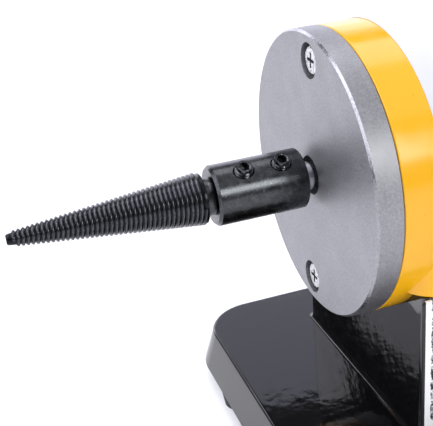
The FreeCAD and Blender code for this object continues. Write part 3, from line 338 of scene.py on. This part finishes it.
def black_oxide():
    """Blackened, oiled steel: dark with a fine grain that glints, bare steel on the worn crests, and painted
    shade over the thread.
    """
    # The real grain is finer: it is drawn 0.45 mm wide so that it shows.
    grain_size = 0.45
    grain_depth = 0.008
    patch_size = 2.5
    patch_depth = 0.006
    material, tree, shader = blank("black_oxide_steel")
    place = place_in_mm(tree)
    grain = node(tree, "ShaderNodeTexNoise", {
        "Vector": place, "Scale": 1 / grain_size, **fine_detail,
    }, "Fac")
    patches = node(tree, "ShaderNodeTexNoise", {
        "Vector": place, "Scale": 1 / patch_size, **fine_detail,
    }, "Fac")
    shade = node(tree, "ShaderNodeMapRange", {"Value": patches, **middle_range})
    oxide = node(tree, "ShaderNodeMix", {
        "Factor": shade, mix_first: linear("#363839"), mix_second: linear("#4a4c4e"),
    }, mix_result, data_type="RGBA")
    glints = node(tree, "ShaderNodeMapRange", {"Value": grain, "From Min": 0.58, "From Max": 0.72})
    specks = node(tree, "ShaderNodeMix", {
        "Factor": glints, mix_first: oxide, mix_second: linear("#626366"),
    }, mix_result, data_type="RGBA")
    parts = node(tree, "ShaderNodeSeparateXYZ", {"Vector": place}).node.outputs
    along = node(tree, "ShaderNodeMath", {0: parts["X"]}, operation="ABSOLUTE")
    reach = reach_from_axis(tree, parts)
    # Radius over the crests at this place of the taper, and how far below it the surface lies, in mm
    crest = node(tree, "ShaderNodeMapRange", {
        "Value": along, "From Min": taper_start, "From Max": spindle_end,
        "To Min": taper_large_radius, "To Max": taper_tip_radius,
    }, clamp=False)
    sunk = node(tree, "ShaderNodeMath", {0: crest, 1: reach}, operation="SUBTRACT")
    bare = node(tree, "ShaderNodeMapRange", {
        "Value": sunk, "From Min": thread_depth * crest_wear_share,
        "From Max": thread_depth * 2 * crest_wear_share, "To Min": 1, "To Max": 0,
    })
    on_thread = node(tree, "ShaderNodeMath", {0: along, 1: taper_start}, operation="GREATER_THAN")
    worn = node(tree, "ShaderNodeMath", {0: bare, 1: on_thread}, operation="MULTIPLY")
    broken = node(tree, "ShaderNodeMapRange", {
        "Value": grain, **middle_range, "To Min": 0.15, "To Max": 1,
    })
    patchy = node(tree, "ShaderNodeMath", {0: worn, 1: broken}, operation="MULTIPLY")
    # Painted shade: the whole thread is drawn darker than the collar, so its roots look shaded while the worn
    # crests below show bare steel.
    plain = node(tree, "ShaderNodeMix", {
        "Factor": on_thread, mix_first: specks, mix_second: linear("#242527"),
    }, mix_result, data_type="RGBA")
    colour = node(tree, "ShaderNodeMix", {
        "Factor": patchy, mix_first: plain, mix_second: linear("#56595c"),
    }, mix_result, data_type="RGBA")
    gloss = node(tree, "ShaderNodeMapRange", {
        "Value": patches, **middle_range, "To Min": 0.20, "To Max": 0.30,
    })
    uneven = node(tree, "ShaderNodeBump", {"Height": patches, "Distance": patch_depth * MM})
    rough = node(tree, "ShaderNodeBump", {
        "Height": grain, "Distance": grain_depth * MM, "Normal": uneven,
    })
    feed(tree, shader, {"Base Color": colour, "Metallic": 1.0, "Roughness": gloss, "Normal": rough})
    return material


def raw_aluminium():
    """Cast aluminium, turned and then blasted: a pale matt metal with a fine grain."""
    # The real grain is finer: it is drawn 0.8 mm wide so that it shows.
    grain_size = 0.8
    grain_depth = 0.02
    cloud_size = 9.0
    chamfer_gloss = 0.25
    material, tree, shader = blank("raw_aluminium")
    place = place_in_mm(tree)
    grain = node(tree, "ShaderNodeTexNoise", {
        "Vector": place, "Scale": 1 / grain_size, **fine_detail,
    }, "Fac")
    cloud = node(tree, "ShaderNodeTexNoise", {
        "Vector": place, "Scale": 1 / cloud_size, **fine_detail,
    }, "Fac")
    shade = node(tree, "ShaderNodeMapRange", {"Value": cloud, **middle_range})
    tone = node(tree, "ShaderNodeMix", {
        "Factor": shade, mix_first: linear("#9f9fa3"), mix_second: linear("#a7a7ab"),
    }, mix_result, data_type="RGBA")
    sparkle = node(tree, "ShaderNodeMapRange", {"Value": grain, **middle_range})
    fine = node(tree, "ShaderNodeMix", {
        "Factor": sparkle, mix_first: linear("#d8d8d8"), mix_second: linear("#ffffff"),
    }, mix_result, data_type="RGBA")
    colour = node(tree, "ShaderNodeMix", {
        "Factor": 1.0, mix_first: tone, mix_second: fine,
    }, mix_result, data_type="RGBA", blend_type="MULTIPLY")
    parts = node(tree, "ShaderNodeSeparateXYZ", {"Vector": place}).node.outputs
    along = node(tree, "ShaderNodeMath", {0: parts["X"]}, operation="ABSOLUTE")
    reach = reach_from_axis(tree, parts)
    # On the caps' turned chamfer, and nowhere else, these two add up to more than this.
    corner = (cap_high.z - cap_low.z) / 2 / MM - cap_low.x / MM - cap_chamfer - chamfer_tolerance
    total = node(tree, "ShaderNodeMath", {0: along, 1: reach}, operation="ADD")
    turned = node(tree, "ShaderNodeMath", {0: total, 1: corner}, operation="GREATER_THAN")
    matt = node(tree, "ShaderNodeMapRange", {
        "Value": grain, **middle_range, "To Min": 0.42, "To Max": 0.56,
    })
    less = node(tree, "ShaderNodeMapRange", {"Value": turned, "To Min": 0, "To Max": -chamfer_gloss})
    gloss = node(tree, "ShaderNodeMath", {0: matt, 1: less}, operation="ADD")
    rough = node(tree, "ShaderNodeBump", {"Height": grain, "Distance": grain_depth * MM})
    feed(tree, shader, {"Base Color": colour, "Metallic": 1.0, "Roughness": gloss, "Normal": rough})
    return material


def speckled_panel():
    """Printed vinyl: black and white granite with a plain white border, edged with black that is painted
    shade for the gap round the panel.
    """
    # Blotches of about 2 mm, broken up by grit of 0.7 mm
    blotch_size = 2.4
    grit_size = 0.7
    wander_size = 3.0
    gloss_size = 3.0
    material, tree, shader = blank("panel_vinyl")
    place = place_in_mm(tree)
    blotch = node(tree, "ShaderNodeTexNoise", {
        "Vector": place, "Scale": 1 / blotch_size, **some_detail,
    }, "Fac")
    grit = node(tree, "ShaderNodeTexNoise", {
        "Vector": place, "Scale": 1 / grit_size, **some_detail,
    }, "Fac")
    both = node(tree, "ShaderNodeMath", {0: blotch, 1: grit}, operation="ADD")
    greyer = node(tree, "ShaderNodeMapRange", {"Value": both, "From Min": 0.92, "From Max": 1.06})
    grey = node(tree, "ShaderNodeMix", {
        "Factor": greyer, mix_first: linear("#0c0d10"), mix_second: linear("#8b8d94"),
    }, mix_result, data_type="RGBA")
    whiter = node(tree, "ShaderNodeMapRange", {"Value": both, "From Min": 1.06, "From Max": 1.16})
    speckle = node(tree, "ShaderNodeMix", {
        "Factor": whiter, mix_first: grey, mix_second: linear("#f2f2f4"),
    }, mix_result, data_type="RGBA")
    parts = node(tree, "ShaderNodeSeparateXYZ", {"Vector": place}).node.outputs
    across = node(tree, "ShaderNodeMath", {0: parts["X"]}, operation="ABSOLUTE")
    side = node(tree, "ShaderNodeMath", {0: panel_high.x / MM, 1: across}, operation="SUBTRACT")
    below = node(tree, "ShaderNodeMath", {0: parts["Z"], 1: panel_low.z / MM}, operation="SUBTRACT")
    inset = node(tree, "ShaderNodeMath", {0: side, 1: below}, operation="MINIMUM")
    # The granite's outline wanders a little.
    drift = node(tree, "ShaderNodeTexNoise", {
        "Vector": place, "Scale": 1 / wander_size, **fine_detail,
    }, "Fac")
    wander = node(tree, "ShaderNodeMapRange", {
        "Value": drift, **middle_range, "To Min": -panel_wander, "To Max": panel_wander,
    })
    reach = node(tree, "ShaderNodeMath", {0: inset, 1: wander}, operation="ADD")
    inside = node(tree, "ShaderNodeMath", {0: reach, 1: panel_border}, operation="GREATER_THAN")
    framed = node(tree, "ShaderNodeMix", {
        "Factor": inside, mix_first: linear("#f7f7f7"), mix_second: speckle,
    }, mix_result, data_type="RGBA")
    # Painted shade: a black strip along the panel's sides and bottom stands in for the shadowed gap round it.
    printed = node(tree, "ShaderNodeMath", {0: inset, 1: panel_gap_shade}, operation="GREATER_THAN")
    colour = node(tree, "ShaderNodeMix", {
        "Factor": printed, mix_first: linear("#08080a"), mix_second: framed,
    }, mix_result, data_type="RGBA")
    sheen = node(tree, "ShaderNodeTexNoise", {
        "Vector": place, "Scale": 1 / gloss_size, **fine_detail,
    }, "Fac")
    gloss = node(tree, "ShaderNodeMapRange", {
        "Value": sheen, **middle_range, "To Min": 0.3, "To Max": 0.4,
    })
    feed(tree, shader, {"Base Color": colour, "Roughness": gloss})
    return material


def laminations():
    """Stacked steel sheets: thin dark lines across the motor's axis."""
    # At this scale the lines repeat every mm, which is how thick one sheet is.
    sheet_scale = 0.314
    material, tree, shader = blank("lamination_steel")
    place = place_in_mm(tree)
    sheets = node(tree, "ShaderNodeTexWave", {
        "Vector": place, "Scale": sheet_scale, "Distortion": 0.0,
    }, "Fac", bands_direction="X")
    colour = node(tree, "ShaderNodeMix", {
        "Factor": sheets, mix_first: linear("#2e2e30"), mix_second: linear("#77777a"),
    }, mix_result, data_type="RGBA")
    feed(tree, shader, {"Base Color": colour, "Metallic": 1.0, "Roughness": 0.45})
    return material


def copper_winding():
    """Enamelled copper wire, wound side by side: reddish brown with fine parallel ridges."""
    # At this scale the ridges repeat every 0.7 mm, which is how thick one wire is.
    wire_scale = 0.52
    wire_depth = 0.15
    material, tree, shader = blank("copper_winding")
    place = place_in_mm(tree)
    wires = node(tree, "ShaderNodeTexWave", {
        "Vector": place, "Scale": wire_scale, "Distortion": 1.5,
    }, "Fac", bands_direction="DIAGONAL")
    colour = node(tree, "ShaderNodeMix", {
        "Factor": wires, mix_first: linear("#6b2f12"), mix_second: linear("#b8632d"),
    }, mix_result, data_type="RGBA")
    ridges = node(tree, "ShaderNodeBump", {"Height": wires, "Distance": wire_depth * MM})
    feed(tree, shader, {"Base Color": colour, "Metallic": 0.7, "Roughness": 0.35, "Normal": ridges})
    return material


# What each plain finish gives the eye: colour, second colour, feature size in mm, gloss and its spread,
# relief in mm, and the shader's metallic share.
plain_finishes = {
    # Blackened set screws: as the collar, with a deeper black.
    "black_setscrews": ("#232326", "#5c5d61", 0.5, 0.16, 0.05, 0.01, 1.0),
    # Ground shaft: bright steel with a faint grain.
    "ground_steel": ("#b4b4b8", "#cfcfd2", 0.8, 0.18, 0.05, 0.003, 1.0),
    # Zinc plated bolts: bright, slightly bluish and uneven.
    "zinc_screws": ("#77787b", "#f0f0f2", 0.8, 0.24, 0.08, 0.12, 1.0),
    "zinc_plate": ("#a6a8aa", "#b9bbbd", 6.0, 0.38, 0.06, 0.004, 1.0),
    # Rubber: dull dark grey.
    "rubber_feet": ("#1a1a1a", "#262626", 1.5, 0.72, 0.06, 0.02, 0.0),
    "seal_rubber": ("#161616", "#1f1f1f", 1.5, 0.70, 0.06, 0.01, 0.0),
    # White vinyl sticker: matt and even.
    "label_vinyl": ("#dcdce2", "#d8d8df", 12.0, 0.42, 0.04, 0.002, 0.0),
    # Moulded plastics: a fine spark texture on black, with a soft sheen.
    "switch_nylon": ("#121213", "#18181a", 0.8, 0.42, 0.05, 0.01, 0.0),
    "rocker_plastic": ("#0f0f10", "#151517", 0.8, 0.30, 0.05, 0.005, 0.0),
    "knob_plastic": ("#141415", "#1a1a1c", 0.8, 0.38, 0.05, 0.01, 0.0),
    "gland_nylon": ("#1b1b1d", "#232326", 1.0, 0.45, 0.05, 0.01, 0.0),
    "terminal_plastic": ("#2f6b46", "#35744d", 2.0, 0.45, 0.05, 0.005, 0.0),
    "brush_bakelite": ("#1f1512", "#2a1d18", 2.0, 0.32, 0.06, 0.006, 0.0),
    "epoxy_black": ("#101010", "#1a1a1a", 0.6, 0.50, 0.06, 0.01, 0.0),
    "capacitor_sleeve": ("#14213f", "#182747", 3.0, 0.30, 0.05, 0.0, 0.0),
    "lead_sleeve": ("#8f1d1a", "#a3231f", 3.0, 0.40, 0.05, 0.004, 0.0),
    # Glass fibre board under green lacquer: the weave just shows.
    "glass_epoxy": ("#1d5a35", "#24683e", 1.2, 0.32, 0.05, 0.01, 0.0),
    # Bare and plated metals.
    "potentiometer_metal": ("#a2a4a6", "#bcbec0", 2.0, 0.30, 0.06, 0.005, 1.0),
    "nickel_plate": ("#b9b5ab", "#cfcbc1", 2.0, 0.22, 0.05, 0.002, 1.0),
    "brass": ("#b08d3c", "#c5a24e", 2.0, 0.28, 0.06, 0.004, 1.0),
    "turned_aluminium": ("#c2c2c6", "#d2d2d5", 1.0, 0.34, 0.06, 0.01, 1.0),
    "bearing_steel": ("#b9b9bd", "#cdcdd0", 2.0, 0.14, 0.04, 0.001, 1.0),
    "pressed_steel": ("#8f9194", "#a2a4a7", 1.5, 0.30, 0.06, 0.004, 1.0),
    "spring_steel": ("#6f6f73", "#85858a", 1.0, 0.28, 0.05, 0.003, 1.0),
    "commutator_copper": ("#a4572c", "#bd6c3c", 1.5, 0.26, 0.06, 0.004, 1.0),
    # Sintered ferrite and pressed carbon: dull, dark and granular.
    "ferrite": ("#2b2b2d", "#3a3a3d", 0.7, 0.62, 0.06, 0.02, 0.0),
    "carbon": ("#1b1b1c", "#2c2c2e", 0.4, 0.52, 0.06, 0.01, 0.0),
    # Printing inks: matt and even.
    "white_ink": ("#f2f2f2", "#e9e9e9", 2.0, 0.50, 0.04, 0.0, 0.0),
    "black_ink": ("#0d0d0d", "#131313", 2.0, 0.42, 0.04, 0.0, 0.0),
}

# The CAD pieces that wear each finish
wearers = {
    "black_enamel": ("base_casting",),
    "yellow_enamel": ("motor_tube",),
    "raw_aluminium": ("end_cap_left", "end_cap_right", "heat_sink"),
    "panel_vinyl": ("front_panel",),
    "lamination_steel": ("armature_core",),
    "copper_winding": ("armature_windings", "suppression_choke"),
    "ground_steel": ("motor_shaft",),
    "zinc_screws": ("through_bolts", "through_bolt_nuts", "cover_screws", "foot_screws",
                    "mount_screws", "board_screws"),
    "zinc_plate": ("bottom_cover",),
    "rubber_feet": ("rubber_feet", "lead_grommets"),
    "seal_rubber": ("gland_seal",),
    "label_vinyl": ("motor_label",),
    "switch_nylon": ("switch_housing",),
    "rocker_plastic": ("switch_rocker",),
    "knob_plastic": ("speed_knob",),
    "gland_nylon": ("cable_gland", "gland_nut", "gland_locknut"),
    "terminal_plastic": ("terminal_block",),
    "brush_bakelite": ("brush_holder_front", "brush_holder_rear", "brush_cap_front", "brush_cap_rear"),
    "epoxy_black": ("thyristor", "bridge_rectifier"),
    "capacitor_sleeve": ("filter_capacitor",),
    "lead_sleeve": ("motor_leads",),
    "glass_epoxy": ("circuit_board",),
    "potentiometer_metal": ("potentiometer", "potentiometer_shaft"),
    "nickel_plate": ("potentiometer_nut",),
    "brass": ("board_standoffs",),
    "bearing_steel": ("bearing_balls", "bearing_outer_left", "bearing_outer_right",
                      "bearing_inner_left", "bearing_inner_right"),
    "pressed_steel": ("bearing_cages",),
    "spring_steel": ("brush_spring_front", "brush_spring_rear", "wave_washer"),
    "commutator_copper": ("commutator",),
    "ferrite": ("magnet_front", "magnet_rear"),
    "carbon": ("brush_front", "brush_rear"),
}


def make_finishes():
    """All finishes by name."""
    made = {
        "black_enamel": black_enamel(),
        "yellow_enamel": yellow_enamel(),
        "black_oxide_steel": black_oxide(),
        "raw_aluminium": raw_aluminium(),
        "panel_vinyl": speckled_panel(),
        "lamination_steel": laminations(),
        "copper_winding": copper_winding(),
    }
    for name, (colour, other, size, roughness, uneven, depth, metallic) in plain_finishes.items():
        made[name] = surface(name, colour, other, size, roughness, uneven, depth, metallic)
    return made


def wear(thing, material):
    """Gives the whole object one material."""
    thing.data.materials.clear()
    thing.data.materials.append(material)
    for face in thing.data.polygons:
        face.material_index = 0


def as_object(name, bm, smooth=True):
    """Turns a bmesh into an object, with its edges kept crisp where faces meet at an angle."""
    bmesh.ops.recalc_face_normals(bm, faces=bm.faces)
    mesh = bpy.data.meshes.new(name)
    bm.to_mesh(mesh)
    bm.free()
    if smooth:
        mesh.shade_smooth()
        mesh.set_sharp_from_angle(angle=math.radians(sharp_angle))
    thing = bpy.data.objects.new(name, mesh)
    bpy.context.scene.collection.objects.link(thing)
    return thing


def join(whole, part):
    """Adds one bmesh to another and frees it."""
    mesh = bpy.data.meshes.new("part")
    part.to_mesh(mesh)
    part.free()
    whole.from_mesh(mesh)
    bpy.data.meshes.remove(mesh)


def turned_normals(thing, reach):
    """Gives the turned faces within reach of the machine's middle the normals of the true round shape."""
    mesh = thing.data
    normals = [corner.vector.copy() for corner in mesh.corner_normals]
    for face in mesh.polygons:
        if any(abs(mesh.vertices[index].co.x) > reach * MM for index in face.vertices):
            continue
        middle = Vector((0, face.center.y, face.center.z - axis_height * MM)).normalized()
        outward = face.normal.dot(middle)
        if abs(face.normal.cross(middle).x) > turned_share:
            continue
        for corner in face.loop_indices:
            place = mesh.vertices[mesh.loops[corner].vertex_index].co
            away = Vector((0, place.y, place.z - axis_height * MM)).normalized()
            normals[corner] = (Vector((face.normal.x, 0, 0)) + away * outward).normalized()
    mesh.normals_split_custom_set(normals)


def dress(thing, body, finish, stands_for=()):
    """Gives a piece its finish and the CAD body that it moves with."""
    wear(thing, finishes[finish])
    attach(thing, body)
    if stands_for:
        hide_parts(*stands_for)


def ring(bm, distance, radius, segments, hand=1):
    """A ring of vertices round the X axis. The radius is a number, or a function of the angle."""
    made = []
    for step in range(segments):
        turn = 2 * math.pi * step / segments
        reach = radius(turn) if callable(radius) else radius
        made.append(bm.verts.new((distance, reach * math.cos(turn), hand * reach * math.sin(turn))))
    return made


def skin(bm, first, second):
    """Faces between two rings."""
    for step in range(len(first)):
        after = (step + 1) % len(first)
        bm.faces.new((first[step], first[after], second[after], second[step]))


def thread(bm, start, turns, pitch, hand, crest, depth, segments, before, after):
    """A helical thread along +X, closed by the rings named before and after it.

    Each row of vertices follows the helix, so the row that ends a turn meets the row that starts the next.
    The ends fade out over a third of a turn.
    """
    points = len(thread_outline)
    last = points * (turns - 1)
    length = pitch * (turns + thread_outline[0][0] * 2)

    def spot(row, step):
        share, height = thread_outline[row % points]
        distance = pitch * (row // points + share + step / segments)
        inside = min(distance, length - distance) / pitch
        height *= min(1.0, thread_end_height + max(0.0, inside - thread_end_turn) * thread_end_rise)
        turn = 2 * math.pi * step / segments
        radius = crest(start + distance) - depth * (1 - height)
        return bm.verts.new((start + distance, radius * math.cos(turn), hand * radius * math.sin(turn)))

    grid = [[spot(row, step) for step in range(segments)] for row in range(last + 1)]
    seam = [row[0] for row in grid] + [spot(last + extra, 0) for extra in range(1, points + 1)]

    def at(row, step):
        return seam[row + points] if step == segments else grid[row][step]

    for row in range(last):
        for step in range(segments):
            bm.faces.new((at(row, step), at(row + 1, step), at(row + 1, step + 1), at(row, step + 1)))
    for end, row, rings in ((start, 0, before), (start + length, last, after)):
        edge = ring(bm, end, crest(end) - depth, segments, hand)
        for step in range(segments):
            bm.faces.new((edge[step], at(row, step), at(row, step + 1), edge[(step + 1) % segments]))
        bm.faces.new([edge[0]] + seam[row:row + points + 1])
        for distance, radius in rings:
            next_edge = ring(bm, distance, radius, segments, hand)
            skin(bm, edge, next_edge)
            edge = next_edge
        bm.faces.new(edge)


def taper_radius(distance):
    """Radius over the thread's crests at a distance from the middle of the motor."""
    share = (distance - taper_start) / (spindle_end - taper_start)
    return taper_large_radius + (taper_tip_radius - taper_large_radius) * share


def spindle(side, name):
    """The collar and neck of the CAD piece, with its rings replaced by a real helical thread."""
    bm = bmesh.new()
    root = taper_radius(taper_start) - thread_depth
    neck = neck_radius - thread_sink
    tip = taper_radius(spindle_end) - thread_depth
    thread(
        bm, taper_start + thread_end_gap, taper_turns - 1, taper_pitch, side,
        taper_radius, thread_depth, taper_segments,
        before=[(taper_start, root), (taper_start, neck), (taper_start - thread_sink, neck)],
        after=[(spindle_end - tip_chamfer, tip), (spindle_end, tip - tip_chamfer)],
    )
    turned = Matrix.Rotation(0 if side > 0 else math.pi, 4, "Z")
    bm.transform(Matrix.Translation((0, 0, axis_height * MM)) @ turned @ Matrix.Scale(MM, 4))
    collar = bmesh.new()
    collar.from_mesh(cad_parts["spindle_" + name].data)
    bmesh.ops.remove_doubles(collar, verts=collar.verts, dist=edge_tolerance * MM)
    beyond = (taper_start - edge_tolerance) * MM
    spare = [face for face in collar.faces if all(abs(v.co.x) > beyond for v in face.verts)]
    bmesh.ops.delete(collar, geom=spare, context="FACES")
    join(bm, collar)
    thing = as_object("tapered_spindle_" + name, bm)
    turned_normals(thing, taper_start - edge_tolerance)
    dress(thing, "rotor", "black_oxide_steel", stands_for=["spindle_" + name])


def hexagon_radius(turn):
    """Reach of the socket's hexagon at an angle."""
    sixth = math.pi / 3
    return socket_width / 2 / math.cos((turn + sixth / 2) % sixth - sixth / 2)


def setscrews(name):
    """Two socket set screws in one collar, threaded and with a hexagon socket."""
    low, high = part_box("setscrews_" + name)
    inset = (high.x - low.x) / MM / 2 - setscrew_cad_radius
    middle = (low.x + high.x) / MM / 2
    outer = setscrew_outer
    length = outer - setscrew_inner
    turns = int((length - 2 * setscrew_chamfer) / setscrew_pitch) - 1
    start = outer - setscrew_chamfer - setscrew_pitch * (turns + setscrew_thread_gap)
    root = setscrew_radius - setscrew_depth
    both = bmesh.new()
    for way in (-1, 1):
        bm = bmesh.new()
        thread(
            bm, start, turns, setscrew_pitch, 1,
            lambda distance: setscrew_radius, setscrew_depth, setscrew_segments,
            before=[(setscrew_inner + setscrew_chamfer, root), (setscrew_inner, root - setscrew_chamfer)],
            after=[
                (outer, root - socket_lead / 2),
                (outer, socket_width / math.sqrt(3) + socket_lead),
                (outer - socket_lead, hexagon_radius),
                (outer - socket_depth, hexagon_radius),
            ],
        )
        upright = Matrix.Rotation(-math.pi / 2, 4, "Y")
        leaning = Matrix.Rotation(math.radians(setscrew_lean), 4, "X")
        place = Matrix.Translation((middle + way * inset, 0, axis_height))
        bm.transform(Matrix.Scale(MM, 4) @ place @ leaning @ upright)
        join(both, bm)
    thing = as_object("set_screws_" + name, both)
    dress(thing, "rotor", "black_setscrews", stands_for=["setscrews_" + name])


def brush_spring(name):
    """The coil spring behind one carbon: a copy of the CAD piece, left where it is."""
    node_name = "brush_spring_" + name
    thing = bpy.data.objects.new("coil_spring_" + name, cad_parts[node_name].data.copy())
    bpy.context.scene.collection.objects.link(thing)
    wear(thing, finishes["spring_steel"])
    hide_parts(node_name)
    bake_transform(thing)


def prism(bm, outline, low, high):
    """A solid that fills an outline of points in X and Z, from low to high along Y."""
    front = [bm.verts.new((x, low, z)) for x, z in outline]
    back = [bm.verts.new((x, high, z)) for x, z in outline]
    bm.faces.new(front)
    bm.faces.new(back)
    skin(bm, front, back)


def tube_ring(bm, inner, outer, low, high, segments):
    """A flat ring round the Y axis."""
    rings = []
    for radius, y in ((inner, low), (outer, low), (outer, high), (inner, high)):
        turns = [2 * math.pi * step / segments for step in range(segments)]
        rings.append([bm.verts.new((radius * math.cos(t), y, radius * math.sin(t))) for t in turns])
    for first, second in zip(rings, rings[1:] + rings[:1]):
        skin(bm, first, second)


def dial_angle(step):
    """Where a number stands on the dial, clockwise from its top."""
    return math.radians(dial_turn * (step / dial_steps - 0.5))


def dial():
    """A printed ring round the speed knob with ticks and plain numbers."""
    centre = Vector(((knob_low.x + knob_high.x) / 2, panel_low.y, (knob_low.z + knob_high.z) / 2))
    place = Matrix.Translation(centre) @ Matrix.Scale(MM, 4)
    bm = bmesh.new()
    tube_ring(bm, dial_plate_inner, dial_plate_radius, -dial_plate_thickness, 0, dial_segments)
    bm.transform(place)
    dress(as_object("dial_plate", bm), "stand", "black_ink")

    bm = bmesh.new()
    half = dial_tick_width / 2
    outline = [
        (-half, dial_tick_inner), (half, dial_tick_inner), (half, dial_tick_outer), (-half, dial_tick_outer),
    ]
    for step in range(dial_steps + 1):
        tick = bmesh.new()
        prism(tick, outline, -dial_plate_thickness - print_thickness, -dial_plate_thickness)
        tick.transform(Matrix.Rotation(dial_angle(step), 4, "Y"))
        join(bm, tick)
    bm.transform(place)
    dress(as_object("dial_ticks", bm, smooth=False), "stand", "white_ink")

    rise = Vector((0, -(dial_plate_thickness + print_thickness / 2) * MM, 0))
    upright = Matrix.Rotation(math.pi / 2, 4, "X")
    for step in range(dial_steps + 1):
        angle = dial_angle(step)
        text = bpy.data.curves.new("number", "FONT")
        text.body = str(step)
        text.size = dial_number_height * MM * font_share
        text.extrude = print_thickness * MM / 2
        text.align_x = "CENTER"
        text.align_y = "CENTER"
        thing = bpy.data.objects.new("dial_number_" + str(step), text)
        bpy.context.scene.collection.objects.link(thing)
        offset = Vector((math.sin(angle), 0, math.cos(angle))) * dial_number_radius * MM
        thing.matrix_world = Matrix.Translation(centre + offset + rise) @ upright
        thing.data.materials.append(finishes["white_ink"])
        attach(thing, "stand")


def knob_mark():
    """A white line that fills the groove in the knob's face."""
    centre = Vector(((knob_low.x + knob_high.x) / 2, knob_low.y, (knob_low.z + knob_high.z) / 2))
    radius = (knob_high.x - knob_low.x) / MM / 2 - knob_foot_ring
    bm = bmesh.new()
    half = knob_mark_width / 2
    inner = radius * knob_mark_inner_share + knob_mark_inner_gap
    outer = radius - knob_mark_outer_gap
    prism(bm, [(-half, inner), (half, inner), (half, outer), (-half, outer)], knob_mark_sunk, knob_mark_depth)
    turned = Matrix.Rotation(dial_angle(0), 4, "Y")
    bm.transform(Matrix.Translation(centre) @ turned @ Matrix.Scale(MM, 4))
    dress(as_object("knob_mark", bm, smooth=False), "knob", "white_ink")


def rocker_marks():
    """A bar and a ring on the two ends of the rocker, laid along its hollow face."""
    middle = (rocker_low.x + rocker_high.x) / 2
    pivot = Vector((middle, (panel_face + rocker_pivot_drop) * MM, rocker_pivot_height * MM))
    slope = math.atan2(rocker_mark_out, math.sqrt(rocker_dish ** 2 - rocker_mark_out ** 2))
    out = rocker_valley + rocker_dish - math.sqrt(rocker_dish ** 2 - rocker_mark_out ** 2)
    for name, way in (("on", 1), ("off", -1)):
        bm = bmesh.new()
        near = -print_thickness
        far = print_thickness * 2
        size = rocker_mark_size
        if way > 0:
            half = rocker_mark_width / 2
            prism(bm, [(-half, -size), (half, -size), (half, size), (-half, size)], near, far)
        else:
            tube_ring(bm, size - rocker_mark_width, size, near, far, rocker_mark_segments)
        local = Matrix.Translation((0, -out, way * rocker_mark_out)) @ Matrix.Rotation(way * slope, 4, "X")
        tilt = Matrix.Rotation(math.radians(rocker_tilt), 4, "X")
        bm.transform(Matrix.Translation(pivot) @ Matrix.Scale(MM, 4) @ tilt @ local)
        dress(as_object("rocker_mark_" + name, bm), "rocker", "white_ink")


def softbox(name, azimuths, elevations, radiance, colour, roll=0.0):
    """A flat light that faces the machine, fills the given angles and is turned by its roll."""
    azimuth, elevation = [math.radians(sum(pair) / 2) for pair in (azimuths, elevations)]
    half_turn, half_rise = [math.radians(pair[1] - pair[0]) / 2 for pair in (azimuths, elevations)]
    width = 2 * studio_distance * math.cos(elevation) * math.tan(half_turn) * MM
    height = 2 * studio_distance * math.tan(half_rise) * MM
    light = bpy.data.lights.new(name, "AREA")
    light.shape = "RECTANGLE"
    light.size = width
    light.size_y = height
    light.energy = radiance * math.pi * width * height
    light.color = linear(colour)[:3]
    thing = bpy.data.objects.new(name, light)
    towards = Vector((
        math.cos(elevation) * math.sin(azimuth), math.cos(elevation) * math.cos(azimuth), math.sin(elevation),
    ))
    thing.location = (studio_centre + towards * studio_distance) * MM
    rolled = Matrix.Rotation(math.radians(roll), 4, "Z")
    thing.rotation_euler = ((-towards).to_track_quat("-Z", "Y").to_matrix().to_4x4() @ rolled).to_euler()
    bpy.context.scene.collection.objects.link(thing)


def sky():
    """Pale in front of the machine and dark above its back wall."""
    world = bpy.data.worlds.new("studio")
    world.use_nodes = True
    tree = world.node_tree
    towards = node(tree, "ShaderNodeTexCoord", {}, "Generated")
    back = node(tree, "ShaderNodeSeparateXYZ", {"Vector": towards}, "Y")
    strength = node(tree, "ShaderNodeMapRange", {
        "Value": back, "From Min": -sky_blend, "From Max": sky_blend, "To Min": front_sky, "To Max": back_sky,
    })
    feed(tree, tree.nodes["Background"], {"Strength": strength, "Color": linear("#f4f4ff")})
    bpy.context.scene.world = world


def studio():
    """A pale floor, a sky and softboxes."""
    sky()
    bm = bmesh.new()
    half = floor_size / 2
    corners = [bm.verts.new((x * half, y * half, 0)) for x, y in ((-1, -1), (1, -1), (1, 1), (-1, 1))]
    bm.faces.new(corners)
    bm.transform(Matrix.Scale(MM, 4))
    floor = as_object("floor", bm, smooth=False)
    material, tree, shader = blank("studio_floor")
    cloud = node(tree, "ShaderNodeTexNoise", {
        "Vector": place_in_mm(tree), "Scale": 1 / floor_cloud_size, **fine_detail,
    }, "Fac")
    tone = node(tree, "ShaderNodeMix", {
        "Factor": cloud, mix_first: linear("#f4f4f5"), mix_second: linear("#f8f8f8"),
    }, mix_result, data_type="RGBA")
    feed(tree, shader, {
        "Base Color": tone, "Roughness": 0.5,
        "Emission Color": linear("#ffffff"), "Emission Strength": floor_glow,
    })
    wear(floor, material)
    for name, angles in softboxes.items():
        softbox(name, *angles)


def camera():
    """The photo's own view, as fitted to its ellipses and edges."""
    data = bpy.data.cameras.new("camera")
    data.sensor_width = sensor_width
    data.lens = focal_pixels * sensor_width / image_width
    thing = bpy.data.objects.new("camera", data)
    thing.location = camera_place * MM
    thing.rotation_euler = camera_turn
    bpy.context.scene.collection.objects.link(thing)
    bpy.context.scene.camera = thing


finishes = make_finishes()
for finish, names in wearers.items():
    for name in names:
        wear(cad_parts[name], finishes[finish])
for side, name in ((-1, "left"), (1, "right")):
    spindle(side, name)
    setscrews(name)
for side, name in ((-1, "front"), (1, "rear")):
    brush_spring(name)
dial()
knob_mark()
rocker_marks()
studio()
camera()
bpy.context.scene.view_settings.view_transform = "Standard"
